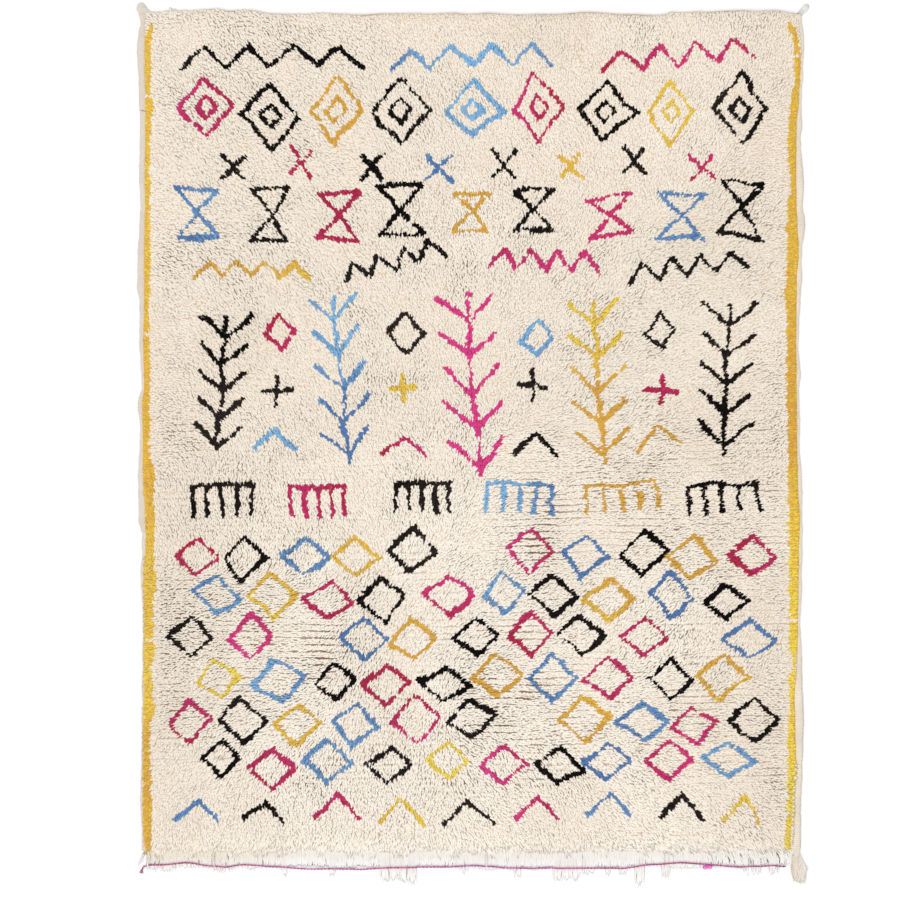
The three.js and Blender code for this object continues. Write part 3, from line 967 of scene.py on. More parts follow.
def strand_colour(tree, given, along, row, around):
    """Deep and light mixed by the row's tone, then the tip's colour over the outer part, then a brown dash
    on one flank of the strands in the dash row: a speck of brown fibre on a few tufts, and painted shade of
    the slits between tufts on the rest."""
    step = maths(tree, "FLOOR", maths(tree, "MULTIPLY", row, TONES / SHADE_ROWS))
    tone = maths(tree, "DIVIDE", step, TONES - 1)
    base = mix_colour(tree, tone, given["Deep"], given["Light"])
    bleached = maths(tree, "MULTIPLY", spread(tree, along, 0.4, 1.0, 0.0, 1.0), given["Tip share"])
    base = mix_colour(tree, bleached, base, given["Tip"])
    dash_run, dash_flank = 0.66, 0.30
    dash = maths(tree, "MULTIPLY", maths(tree, "LESS_THAN", row, SPECK_AND_SLIT_SHADE_ROW + 0.5), given["Speck and slit shade"])
    on_flank = spread(tree, distance_from(tree, around, dash_flank), 0.10, 0.14, 1.0, 0.0)
    on_run = spread(tree, distance_from(tree, along, dash_run), 0.16, 0.30, 0.85, 0.0)
    dash = maths(tree, "MULTIPLY", maths(tree, "MULTIPLY", dash, on_flank), on_run)
    return mix_colour(tree, dash, base, SPECK_AND_SLIT_SHADE_BROWN)


def strand_relief(tree, given, along, row, around):
    """A ridge for each spun end, the absolute sine of the way round with a slow drift along the strand, and
    fibres, a noise that is drawn out along it."""
    ends = maths(tree, "MULTIPLY", maths(tree, "MULTIPLY", around, given["Spun ends"]), np.pi)
    drift = maths(tree, "MULTIPLY", noise(tree, vector_of(tree, along, row, 0), 3.0), 1.6)
    ridge = maths(tree, "ABSOLUTE", maths(tree, "SINE", maths(tree, "ADD", ends, drift)))
    fibres_along, fibres_around = 3.0, 26.0
    run, turn = maths(tree, "MULTIPLY", along, fibres_along), maths(tree, "MULTIPLY", around, fibres_around)
    return ridge, noise(tree, vector_of(tree, run, turn, row), 1.0, 3.0)


def strand_shade(tree, given, along, row, ridge, fibre):
    """The product of four shades: painted shade in the hollows between ridges, lighter and darker fibres,
    painted shade towards the root, painted light there where Root shade is over one, and a lot for each row,
    which is the fraction of the row times the golden ratio."""
    hollow = spread(tree, ridge, 0.0, 0.45, maths(tree, "SUBTRACT", 1.0, given["Hollow shade"]), 1.0)
    grain = spread(tree, fibre, 0.3, 0.7, 0.95, 1.04)
    root = spread(tree, along, 0.05, 0.55, given["Root shade"], 1.0)
    golden_ratio, usual_lot = 0.618, 0.6
    lot = maths(tree, "FRACT", maths(tree, "MULTIPLY", row, golden_ratio))
    off_usual = maths(tree, "MULTIPLY", maths(tree, "SUBTRACT", lot, usual_lot), given["Contrast"])
    fine = maths(tree, "MULTIPLY", hollow, grain)
    return maths(tree, "MULTIPLY", fine, maths(tree, "MULTIPLY", root, maths(tree, "ADD", off_usual, 1.0)))


def spun_wool_group():
    """Wool of a strand, by its map: two shades by the strand's row, painted shade towards its root, fine
    fibres along it and painted shade in the hollows between its spun ends. Strands of one row may have a
    brown dash, partly a speck of fibre and partly painted shade of a slit."""
    name = "Spun wool"
    if name in bpy.data.node_groups:
        return bpy.data.node_groups[name]
    colour, number = "NodeSocketColor", "NodeSocketFloat"
    tree, group_input, out = new_group(
        name,
        [
            ("Deep", colour, (0.5, 0.5, 0.5, 1)),
            ("Light", colour, (0.8, 0.8, 0.8, 1)),
            ("Tip", colour, (1, 1, 1, 1)),
            ("Tip share", number, 0.0),
            ("Root shade", number, 0.6),
            ("Contrast", number, 0.12),
            ("Spun ends", number, 3.0),
            ("Hollow shade", number, 0.12),
            ("Speck and slit shade", number, 0.0),
        ],
        [("Colour", colour), ("Relief", number)],
    )
    given = group_input.outputs
    along, row, around = map_place(tree)
    base = strand_colour(tree, given, along, row, around)
    ridge, fibre = strand_relief(tree, given, along, row, around)
    relief = maths(tree, "ADD", maths(tree, "MULTIPLY", ridge, 0.6), maths(tree, "MULTIPLY", fibre, 0.4))
    shade = strand_shade(tree, given, along, row, ridge, fibre)
    tree.links.new(shaded(tree, base, shade), out.inputs["Colour"])
    tree.links.new(relief, out.inputs["Relief"])
    return tree


def wool_material(name, colour, relief, sheen=0.25, shine=0.25, bump=0.35):
    """A soft, matt wool. colour and relief are functions that add nodes to the material's tree and give a
    socket."""
    material = bpy.data.materials.new(name)
    material.use_nodes = True
    tree = material.node_tree
    shader = tree.nodes["Principled BSDF"]
    shader.inputs["Roughness"].default_value = 0.9
    shader.inputs["Specular IOR Level"].default_value = shine
    shader.inputs["Sheen Weight"].default_value = sheen
    shader.inputs["Sheen Roughness"].default_value = 0.6
    raised = tree.nodes.new("ShaderNodeBump")
    raised.inputs["Strength"].default_value = bump
    raised.inputs["Distance"].default_value = 0.001
    tree.links.new(colour(tree), shader.inputs["Base Color"])
    tree.links.new(relief(tree), raised.inputs["Height"])
    tree.links.new(raised.outputs["Normal"], shader.inputs["Normal"])
    return material


def spun_material(name, deep, light, own_values, sheen=0.2, shine=0.25):
    """Wool strands through the spun wool group, whose usual values give way to the material's own."""
    values = {"Root shade": 0.85, "Contrast": 0.10, "Spun ends": 2.0, "Hollow shade": 0.06, **own_values}
    made = {}

    def group_node(tree):
        """The material's one spun wool node, made when it is first asked for."""
        if "node" not in made:
            node = made["node"] = tree.nodes.new("ShaderNodeGroup")
            node.node_tree = spun_wool_group()
            node.inputs["Deep"].default_value = (*deep, 1)
            node.inputs["Light"].default_value = (*light, 1)
            for key, value in values.items():
                node.inputs[key].default_value = value
        return made["node"]

    return wool_material(
        name,
        lambda tree: group_node(tree).outputs["Colour"],
        lambda tree: group_node(tree).outputs["Relief"],
        sheen,
        shine,
    )


def ground_material(settings):
    """Wool between the tufts above, in the point colours. Below, wefts across and warps up and down, with
    some rows of brown weft."""
    weft_pitch, warp_pitch, row_pitch = 0.0028, 0.0045, 0.02

    def crossing(tree):
        """The sine of the place up the cloth times the sine of the place across it."""
        place = axes_of(tree, object_place(tree))
        weft = maths(tree, "SINE", maths(tree, "MULTIPLY", place["Y"], 2 * np.pi / weft_pitch))
        warp = maths(tree, "SINE", maths(tree, "MULTIPLY", place["X"], 2 * np.pi / warp_pitch))
        return maths(tree, "MULTIPLY", weft, warp)

    def underside(tree, place):
        """The weave's colour, with brown in the rows that a noise picks."""
        row = maths(tree, "FLOOR", maths(tree, "DIVIDE", axes_of(tree, place)["Y"], row_pitch))
        brown = spread(tree, noise(tree, vector_of(tree, row, 0, 0), 7.3), 0.5, 0.62, 0.0, 1.0)
        base = mix_colour(tree, brown, settings.ground, settings.weft)
        return shaded(tree, base, spread(tree, crossing(tree), -1.0, 1.0, 0.8, 1.05))

    def knotted_side(tree, place):
        """The point colours with fine fibres, and a warmer tint in patches."""
        wool = tree.nodes.new("ShaderNodeVertexColor")
        wool.layer_name = WOOL_COLOUR
        fibres = spread(tree, noise(tree, place, 260.0), 0.3, 0.7, 0.88, 1.08)
        warmth = spread(tree, noise(tree, place, 16.0), 0.45, 0.75, 0.0, 1.0)
        return mix_colour(tree, warmth, shaded(tree, wool.outputs["Color"], fibres), WARM_TINT, "MULTIPLY")

    def colour(tree):
        """The underside's colour near the floor and the knotted side's above it."""
        place = object_place(tree)
        above = spread(tree, axes_of(tree, place)["Z"], 0.001, 0.003, 0.0, 1.0)
        return mix_colour(tree, above, underside(tree, place), knotted_side(tree, place))

    return wool_material("Woven ground", colour, crossing, sheen=0.1)


def thread_material(colour, light):
    """Twined pink yarn: lighter in its middle, in patches, and darker in spots."""
    middle = -0.15

    def shades(tree):
        """Colour and light mixed by the distance from the middle and a noise, times a finer noise."""
        place = object_place(tree)
        off_middle = distance_from(tree, axes_of(tree, place)["X"], middle)
        lightness = spread(tree, off_middle, 0.25, 0.80, 0.9, 0.15)
        patches = spread(tree, noise(tree, place, 24.0), 0.35, 0.65, -0.25, 0.25)
        base = mix_colour(tree, maths(tree, "ADD", lightness, patches), colour, light)
        return shaded(tree, base, spread(tree, noise(tree, place, 75.0), 0.38, 0.62, 0.66, 1.12))

    def fibres(tree):
        """A fine noise."""
        return noise(tree, object_place(tree), 900.0)

    return wool_material("Pink thread wool", shades, fibres, bump=0.3)


def felt_material(colour, rim):
    """Felted wool: soft blotches and fine hairs, and painted shade that makes it greyer down its flanks and
    at its end.
    """

    def shades(tree):
        """Colour and the rim's painted shade mixed by the flank or the run, whichever is more, times a
        noise.
        """
        along, _, around = map_place(tree)
        on_flank = spread(tree, flank_share(tree, around), 0.5, 0.9, 0.0, 1.0)
        at_end = spread(tree, along, 0.78, 0.92, 0.0, 1.0)
        base = mix_colour(tree, maths(tree, "MAXIMUM", on_flank, at_end), colour, rim)
        blotches = noise(tree, object_place(tree), 240.0, 4.0)
        return shaded(tree, base, spread(tree, blotches, 0.3, 0.7, 0.93, 1.05))

    def hairs(tree):
        """A fine noise."""
        return noise(tree, object_place(tree), 700.0, 4.0)

    return wool_material("Felted loop wool", shades, hairs, bump=0.6)


def stained(tree, base, middle, size, dye):
    """A dye over a base in an oval spot, strongest inside and fading out to its rim."""
    lean = np.radians(-12)
    away = tree.nodes.new("ShaderNodeMapping")
    away.vector_type = "TEXTURE"
    away.inputs["Location"].default_value = middle
    away.inputs["Rotation"].default_value = (0, 0, lean)
    away.inputs["Scale"].default_value = size
    tree.links.new(object_place(tree), away.inputs["Vector"])
    reach = tree.nodes.new("ShaderNodeVectorMath")
    reach.operation = "LENGTH"
    tree.links.new(away.outputs["Vector"], reach.inputs[0])
    return mix_colour(tree, spread(tree, reach.outputs["Value"], 0.4, 1.0, 0.8, 0.0), base, dye)


def wrapped_material(name, colour, turns_in_lap, stain=None):
    """Wool wound round a cord: a darker line in the hollow between turns and greyer flanks, both painted
    shade, slow changes along the cord, and perhaps a stain, given by its middle, its size across, up and
    down, and its colour."""

    def wound(tree):
        """The absolute sine of the turns along the cord, each of which slants by half a turn on its way
        round."""
        along, _, around = map_place(tree)
        turns = maths(tree, "MULTIPLY", along, turns_in_lap)
        phase = maths(tree, "ADD", turns, maths(tree, "MULTIPLY", around, 0.5))
        return maths(tree, "ABSOLUTE", maths(tree, "SINE", maths(tree, "MULTIPLY", phase, np.pi)))

    def shades(tree):
        """The colour, greyer by the flank, times the hollows, both of them painted shade, and a coarse noise
        and a fine one.
        """
        place, around = object_place(tree), map_place(tree)[2]
        hollow = spread(tree, wound(tree), 0.0, 0.5, 0.94, 1.0)
        slow = spread(tree, noise(tree, place, 14.0), 0.3, 0.7, 0.94, 1.04)
        hairs = spread(tree, noise(tree, place, 160.0, 3.0), 0.3, 0.7, 0.95, 1.03)
        painted_flank_shade = spread(tree, flank_share(tree, around), 0.6, 1.0, 0.0, 0.5)
        base = mix_colour(tree, painted_flank_shade, colour, CORD_FLANK_SHADE)
        wool = shaded(tree, base, maths(tree, "MULTIPLY", maths(tree, "MULTIPLY", hollow, slow), hairs))
        return wool if stain is None else stained(tree, wool, *stain)

    return wool_material(name, shades, wound, bump=0.5)


# Shapes


def ground_sheet(pile):
    """A grid over the cloth's plan, a little under the tops of the tufts, and the same rim on the floor.
    Gives its points, its triangles, the outline of its flat underside, and the colour of the wool at each
    point, with the dark bed's brown and painted shade mixed in where the tufts stand apart."""
    columns, rows = 196, 248
    u, v = np.meshgrid(np.linspace(0, 1, columns), np.linspace(0, 1, rows), indexing="ij")
    x, y = (place.ravel() for place in cloth_place(u, v))
    v = v.ravel()
    apart = openness(x, y)
    top = np.stack([x, y, pile_top(x, y, v, pile) - pile.depth * (0.25 + 1.25 * apart)], -1)
    number = np.arange(columns * rows).reshape(columns, rows)
    corners = (number[:-1, :-1], number[1:, :-1], number[1:, 1:], number[:-1, 1:])
    a, b, c, d = (corner.ravel() for corner in corners)
    sheet = np.concatenate([np.stack([a, b, c], 1), np.stack([a, c, d], 1)])
    rim = np.concatenate([number[:, 0], number[-1, 1:], number[-2::-1, -1], number[0, -2:0:-1]])
    low = columns * rows + np.arange(len(rim))
    after, low_after = np.roll(rim, -1), np.roll(low, -1)
    wall = np.concatenate([np.stack([low, low_after, after], 1), np.stack([low, after, rim], 1)])
    foot = top[rim] * (1, 1, 0)
    wool, tone = np.zeros(len(x), int), np.full(len(x), 0.5)
    paint_motifs(wool, x, y, pile.line)
    paint_borders(wool, tone, x, y)
    colours = np.array([pile.bed, pile.yellow, pile.pink, pile.blue, pile.black])[wool]
    # Where tufts stand apart the colour goes towards the dark bed: brown wool deep down and painted shade in
    # the gaps
    dark = (smooth_step(apart / 0.9) * (wool == WOOLS.index("cream")))[:, None]
    colours += (np.array(pile.bed_brown_and_shade) - colours) * dark
    colours = np.concatenate([colours, colours[rim]])
    return np.concatenate([top, foot]), np.concatenate([sheet, wall]), low[::-1], colours


def nap_direction(x, y):
    """The lie of the pile in radians. Twice the table's angles are mixed by the inverse cube of the distance,
    so that a line counts the same either way, and half of the mix is turned to point down the cloth."""
    least = 0.02
    doubled = 2 * np.radians(NAP["degrees"])
    away = np.hypot(x[:, None] - NAP["across"], y[:, None] - NAP["up"]) + least
    weight = away**-3
    line = np.arctan2(weight @ np.sin(doubled), weight @ np.cos(doubled)) / 2
    return np.where(line > 0, line - np.pi, line)


def line_distance(x, y, start, stop):
    """The least distance from each place to any of the straight lines: a line's nearest point is at the
    place's share along it, clamped to 0 and 1."""
    run = stop - start
    reach = np.maximum((run**2).sum(1), 1e-12)
    away = np.stack([x, y], 1)[:, None] - start
    share = np.clip((away * run).sum(2) / reach, 0, 1)
    return np.linalg.norm(away - share[..., None] * run, axis=2).min(1)


def motif_lines(kind, width, height, turn):
    """Starts and stops of a motif's straight lines, sized and turned a little."""
    size = np.array((width, height))
    spin = np.array(((np.cos(turn), np.sin(turn)), (-np.sin(turn), np.cos(turn))))
    lines = [np.array(line) * size @ spin for line in MOTIF_LINES[kind]]
    return np.concatenate([line[:-1] for line in lines]), np.concatenate([line[1:] for line in lines])


def paint_motifs(wool, x, y, line_width):
    """Sets the wool at the places that lie on a motif's lines. The drawing wavers, as a weaver's does. Each
    row of knots steps a little to one side, and the lines swell, thin out and break here and there."""
    chance = np.random.default_rng(2653)
    waver, tremble, row_step = 0.009, 0.003, 0.0045
    across = x + waver * swing(x, y, 0.11, 11) + tremble * swing(x, y, 0.03, 14)
    across += row_step * swing(x * 0.15, y, 0.010, 16)
    up = y + waver * swing(x, y, 0.09, 12) + tremble * swing(x, y, 0.03, 15)
    reach = line_width / 2 * (0.5 + lattice_noise(x, y, 0.05, 13)) * (lattice_noise(x, y, 0.022, 17) > 0.08)
    for band in BANDS:
        row = dict(zip(BAND_COLUMNS, band))
        for count, colour in enumerate(row["colours"]):
            shift = chance.uniform(-1, 1, 2) * 0.014
            width, height = chance.uniform(0.85, 1.12, 2) * (row["width"], row["height"])
            turn = chance.normal(0, 0.07)
            if colour is None:
                continue
            middle = np.array((row["first"] + count * row["step"], row["up"])) + shift
            start, stop = motif_lines(row["kind"], width, height, turn)
            room = line_width * 3
            beside = abs(across - middle[0]) < width / 2 + room
            near = np.flatnonzero(beside & (abs(up - middle[1]) < height / 2 + room))
            away = line_distance(across[near], up[near], start + middle, stop + middle)
            wool[near[away < reach[near]]] = WOOLS.index(colour)


def paint_borders(wool, tone, x, y):
    """Yellow between each border's outer and inner edge, both a little ragged, but for its breaks. Its tone
    is the table's, with short streaks."""
    along = CLOTH_LENGTH / 2 - y
    for side, table, limit in ((-1, LEFT_BORDER, LEFT_BORDER_OUTER), (1, RIGHT_BORDER, RIGHT_BORDER_OUTER)):
        ragged = 0.0032 * swing(x, y, 0.009, 21 + side)
        inside = side * (x - read_table(table, "inner", along) + side * ragged) > 0
        inside &= side * (read_table(limit, "outer", along) - x) + 0.3 * ragged > 0
        inside &= (along > table["along"][0] - 0.006) & (along < table["along"][-1] + 0.03)
        for gap in BORDER_GAPS[side]:
            inside &= abs(along - gap) > BORDER_GAP_REACH
        wool[inside] = WOOLS.index("yellow")
        tone[inside] = (read_table(table, "tone", along) + 0.28 * swing(x, y, 0.006, 47))[inside]


def knot_places(pile, chance):
    """Knots in rows over the cloth's plan, every other row half a column on, each moved a little by chance.
    The rows of a band draw together as far as the band is strong. Gives x, y and v."""
    rows, rim = pile.bands * pile.band_rows, 0.0005
    grid = np.meshgrid(np.arange(rows), np.arange(pile.columns), indexing="ij")
    row, column = (part.ravel() for part in grid)
    jitter = chance.uniform(-1, 1, (2, len(row)))
    u = np.clip((column + 0.25 + 0.5 * (row % 2) + 0.42 * jitter[0]) / pile.columns, rim, 1 - rim)
    v = (row + 0.5) / rows
    drawn = band_strength(*cloth_place(u, v), row // pile.band_rows)
    place_in_band = row % pile.band_rows - (pile.band_rows - 1) / 2
    v += (0.40 * (1 - 0.45 * drawn) * jitter[1] - 0.30 * drawn * place_in_band) / rows
    v = np.clip(v, 0, 1)
    x, y = cloth_place(u, v)
    y += 0.0030 * swing(x, y, 0.10, 30) + 0.0014 * swing(x, y, 0.03, 29)
    return x, y, v


def tuft_headings(x, y, chance):
    """The nap's direction with curls of two sizes and chance, which are less at the lower end, as if
    combed."""
    curl = 0.26 * swing(x, y, 0.055, 31) + 0.20 * swing(x, y, 0.16, 32)
    combed = 0.65 * smooth_step((-1.13 - y) / 0.10)
    return nap_direction(x, y) + (curl + chance.normal(0, 0.11, len(x))) * (1 - combed)


def drawn_to_locks(tip_x, tip_y, pull):
    """Tips pulled by a share of the way to their lock's middle: a place off the middle of their square on a
    lattice."""
    lock = 0.014
    cell_x, cell_y = np.floor(tip_x / lock), np.floor(tip_y / lock)
    middle_x = (cell_x + 0.5 + 0.5 * swing(cell_x, cell_y, 1.7, 33)) * lock
    middle_y = (cell_y + 0.5 + 0.5 * swing(cell_x, cell_y, 1.7, 34)) * lock
    return tip_x + pull * (middle_x - tip_x), tip_y + pull * (middle_y - tip_y)


def tuft_paths(pile, chance):
    """Root, knee and tip of each tuft. It rises from its root, bends over at its knee above the knot and lies
    along its heading. Tips are drawn to locks, more where tufts stand apart. At the rims they are held to the
    cloth, but for a little lap over the side cords and some that hang over the lower end."""
    x, y, v = knot_places(pile, chance)
    count = len(x)
    heading = tuft_headings(x, y, chance)
    length = pile.length * chance.uniform(0.75, 1.2, count)
    hanging = smooth_step((cloth_end(-1, x) + 0.045 - y) / 0.045) * lattice_noise(x, 0 * x, 0.019, 26)
    length *= 1 + 1.4 * hanging
    fore = length * (1 - KNEE_SHARE)
    tip_x, tip_y = x + fore * np.cos(heading), y + fore * np.sin(heading)
    tip_x, tip_y = drawn_to_locks(tip_x, tip_y, 0.14 + 0.34 * openness(x, y))

    lap = 0.003 + 0.007 * lattice_noise(x, y, 0.012, 27)
    left, right = cloth_side(-1, v) - lap, cloth_side(1, v) + lap
    upper, lower = cloth_end(1, x), cloth_end(-1, x)
    overhang = 0.003 + 0.032 * lattice_noise(x, 0 * x, 0.019, 26) ** 1.5
    tip_x = np.clip(tip_x, left, right)
    tip_y = np.clip(tip_y, lower - overhang, upper - 0.0005)
    back = length - fore
    root_x = np.clip(x - back * np.cos(heading), left + 0.004, right - 0.004)
    root_y = np.clip(y - back * np.sin(heading), lower + 0.001, upper - 0.001)

    top = pile_top(x, y, v, pile) + chance.normal(0, 0.0005, count)
    tip = top - 0.0010 - 0.0012 * chance.random(count) - 0.0032 * smooth_step((lower - tip_y) / 0.02)
    root, knee = np.stack([root_x, root_y, top * 0.3], 1), np.stack([x, y, top], 1)
    return np.stack([root, knee, np.stack([tip_x, tip_y, np.maximum(tip, STRAND_HEIGHT)], 1)], 1)


def pile_top(x, y, v, pile):
    """The pile's height and four sizes of lumps, let down at the rims."""
    lumps = 0.0016 * swing(x, y, 0.045, 36) + 0.0008 * swing(x, y, 0.016, 37)
    lumps += 0.0012 * swing(x, y, 0.11, 28) + 0.0009 * swing(x, y, 0.6, 38)
    sides = np.minimum(x - cloth_side(-1, v), cloth_side(1, v) - x)
    upper, lower = cloth_end(1, x) - y, y - cloth_end(-1, x)
    let_down = (0.74 + 0.26 * smooth_step(sides / 0.030)) * (0.66 + 0.34 * smooth_step(upper / 0.025))
    let_down *= 0.46 + 0.54 * smooth_step((lower + 0.012) / 0.055)
    return (pile.height + lumps) * let_down


def band_strength(x, y, band):
    """How far a band of knots is drawn together, from 0 to 1. It is most below the middle and nothing in the
    upper part and at the lower end, differs from patch to patch, and comes and goes along each band."""
    below_middle = 0.45 * smooth_step((0.48 - y) / 0.4) + 0.55 * smooth_step((0.05 - y) / 0.3)
    below_middle *= smooth_step((y + 1.14) / 0.10)
    patches = 0.3 + 0.7 * smooth_step(1.6 * lattice_noise(x, y, 0.22, 39) - 0.25)
    broken = smooth_step(2.4 * lattice_noise(x / 0.09, band, 1.0, 40) - 0.8)
    return below_middle * patches * broken


def openness(x, y):
    """How far the tufts stand apart, from 0 to about 1: in soft patches, more of them in the lower half and
    few in the yellow borders, at the lower end and by its left corner, and most of all in the fold and at the
    open corner."""
    patches = 0.75 * lattice_noise(x, y, 0.17, 43) + 0.65 * lattice_noise(x, y, 0.05, 44)
    patches += 0.21 * smooth_step((-0.05 - y) / 0.25) - 0.16 * smooth_step((y + 0.15) / 0.4) - 0.45
    calm_corner = smooth_step((-0.45 - x) / 0.25) * smooth_step((-0.85 - y) / 0.2)
    above_end = 0.30 + 0.70 * smooth_step((y + 1.24) / 0.20)
    at_borders = smooth_step((0.960 - abs(x)) / 0.045) * (1 - 0.7 * calm_corner)
    in_fold = smooth_step((FOLD["from"] - y) / 0.2) * smooth_step((y - FOLD["to"]) / 0.1)
    fold = 0.5 * in_fold * np.exp(-(((x - FOLD["across"]) / FOLD["reach"]) ** 2))
    away = np.hypot(x - OPEN_CORNER["across"], y - OPEN_CORNER["up"]) / OPEN_CORNER["reach"]
    return np.clip(patches * above_end * at_borders + fold + 0.45 * np.exp(-(away**2)), 0, 1.2)


def tone_row(tone):
    """The first of the map's rows that hold a tone, which goes from 0, deep, to 1, light."""
    return np.clip(np.round(tone * (TONES - 1)), 0, TONES - 1).astype(int) * (SHADE_ROWS // TONES)


def cream_tones(x, y):
    """The natural wool's tone: lighter away from the sides, most of all in the lower half, and at the two
    left corners, with large soft patches."""
    inner, lower = smooth_step((1.0 - abs(x)) / 0.55), smooth_step((0.05 - y) / 0.4)
    left_corners = smooth_step((-0.55 - x) / 0.25) * smooth_step((abs(y) - 0.7) / 0.3)
    tone = 0.05 + 0.32 * inner + 0.55 * inner * lower + 0.25 * left_corners
    return tone + 0.25 * swing(x, y, 0.3, 42)


def speck_and_slit_shade_tufts(x, y, pile, chance):
    """Which tufts would have the brown dash: a few anywhere, as specks of brown fibre, and more where tufts
    stand apart and in streaks in the first row of the bands that are strong, as painted shade of the slits and
    furrows there with some of the weft's brown."""
    row = np.arange(len(x)) // pile.columns
    band, first_row = row // pile.band_rows, row % pile.band_rows == 0
    streak = smooth_step(3 * lattice_noise(x / 0.07, band, 1.0, 45) - 1.9) * smooth_step((-0.45 - y) / 0.3)
    streak *= band_strength(x, y, band) * first_row
    return chance.random(len(x)) < SPECK_AND_SLIT_SHADE_SHARE * (0.3 + openness(x, y)) + 0.85 * streak


def tuft_wools(x, y, pile, chance):
    """Each tuft's wool and its row of the map. A tuft has one wool and one tone, those of the drawing
    there."""
    wool = np.zeros(len(x), int)
    tone = np.clip(0.5 + 0.9 * swing(x, y, 0.34, 41) + chance.normal(0, 0.1, len(x)), 0, 1)
    paint_motifs(wool, x, y, pile.line)
    paint_borders(wool, tone, x, y)
    cream = wool == WOOLS.index("cream")
    shade = tone_row(np.where(cream, cream_tones(x, y), tone))
    shade += chance.integers(0, SHADE_ROWS // TONES, len(x))
    shade[cream & (shade == SPECK_AND_SLIT_SHADE_ROW)] += 1
    shade[cream & speck_and_slit_shade_tufts(x, y, pile, chance)] = SPECK_AND_SLIT_SHADE_ROW
    return wool, shade


def pile_tufts(pile, chance):
    """The tufts' points, faces and map for each piece: the cream ones in equal parts from the lower end up,
    and one for each other wool. A tuft's wool is the drawing's a little beyond its knee. Tufts are thinner
    where they stand apart."""
    path = tuft_paths(pile, chance)
    beyond_knee = 0.15
    x, y = (path[:, 1, :2] * (1 - beyond_knee) + path[:, 2, :2] * beyond_knee).T
    wool, shade = tuft_wools(x, y, pile, chance)
    run = path[:, 2] - path[:, 0]
    left = unit(np.stack([-run[:, 1], run[:, 0], 0 * run[:, 0]], -1))[:, None]
    thick = (chance.uniform(0.85, 1.15, len(x)) * (1.22 - 0.36 * openness(x, y)))[:, None]
    profile = round_profile(3, 0.25)
    stations = np.array((0, KNEE_SHARE, 1.0))

    def made(chosen):
        """The mesh parts of the chosen tufts."""
        width, height = pile.width * thick[chosen], pile.thickness * thick[chosen]
        return strand_mesh(path[chosen], left[chosen], width, height, profile, shade[chosen], stations)

    cream_parts = np.array_split(np.flatnonzero(wool == WOOLS.index("cream")), pile.pieces)
    meshes = [(f"cream_pile_{number + 1}", "pile", made(part)) for number, part in enumerate(cream_parts)]
    for index, colour in enumerate(WOOLS[1:], 1):
        meshes.append((f"{colour}_pile", f"pile_{colour}", made(np.flatnonzero(wool == index))))
    return meshes


def long_strand(line, width, height, sides, laps=SHADE_ROWS, turn=0.0):
    """One strand along a line of places, from its first to its last. width and height have a value for each
    ring."""
    path, shade = line[None], np.zeros(1, int)
    profile = round_profile(sides, turn)
    return strand_mesh(path, level_across(path), width[None], height[None], profile, shade, laps=laps)


def side_cord(side, turns):
    """An oval section from the cord's ragged outer edge to its inner one, a little under the pile, carried
    down the side. Its size swells in each turn of wool by the absolute sine of the turn. The left cord is
    drawn in near the upper end."""
    steps, tucked = turns * 3, 0.009
    drawn_in, drawn_down, drawn_reach = 0.0045, 0.030, 0.020
    v = np.linspace(1, 0, steps + 1)
    run = v * CLOTH_LENGTH
    ragged = 0.0015 * swing(run, 0 * run, 0.040, 57 + side) + 0.0009 * swing(run, 0 * run, 0.013, 65 + side)
    ragged -= drawn_in * np.exp(-(((CLOTH_LENGTH - run - drawn_down) / drawn_reach) ** 2)) * (side < 0)
    outer, inner = cord_outer(side, v) + side * ragged, cloth_side(side, v) - side * tucked
    middle, wide = (outer + inner) / 2, abs(outer - inner)
    swell = 0.90 + 0.14 * abs(np.sin(np.pi * v * turns))
    y = cloth_place(np.full(len(v), 0.0 if side < 0 else 1.0), v)[1]
    tall = CORD_HEIGHT * (0.97 + 0.10 * swing(v, v * 0, 0.02, 51 + side)) * swell
    line = np.stack([middle, y, tall / 2], -1)
    rings = slice(1, -1)
    return long_strand(line, (wide * swell)[rings], tall[rings], 8)


def fan(heads, chance, heading, spread_angle, length, sway, width, rings, lift=0.0, fall=0.5, tone=None):
    """Loose yarns, one from each head. Their directions are spread evenly about a heading, from its right to
    its left, and fall back towards it. They bend a little, ripple, and come down over the given share of
    their length to rest on the floor, or up to the lift over it. Their tones are mixed where none is
    given."""
    count = len(heads)
    offset = spread_angle * ((np.arange(count) + 0.5) / count - 0.5) + chance.normal(0, 0.05, count)
    long = (length * chance.uniform(0.86, 1.0, count))[:, None]
    station = np.linspace(0, 1, rings + 2)
    bend = chance.normal(0, sway, count)[:, None] * np.sin(np.pi * station)
    ripple = 0.35 * sway * station * np.sin(station * 9 + chance.uniform(0, 6, count)[:, None])
    forward = long * station
    aside = long * np.tan(offset)[:, None] * (station - station**2 / 2) + bend + ripple
    x = heads[:, 0, None] + forward * np.cos(heading) - aside * np.sin(heading)
    y = heads[:, 1, None] + forward * np.sin(heading) + aside * np.cos(heading)
    thick = width * chance.uniform(0.85, 1.15, count)[:, None]
    rest = thick / 2 + lift * chance.random(count)[:, None]
    z = rest + np.maximum(heads[:, 2, None] - rest, 0) * (1 - smooth_step(station / fall))
    path = np.stack([x, y, z], -1)
    wide = thick * np.linspace(1.0, 0.75, rings)
    shade = (np.arange(count) * 13) % SHADE_ROWS
    if tone is not None:
        shade = tone_row(tone) + shade % (SHADE_ROWS // TONES)
    return strand_mesh(path, level_across(path), wide, wide * 0.85, round_profile(4), shade)


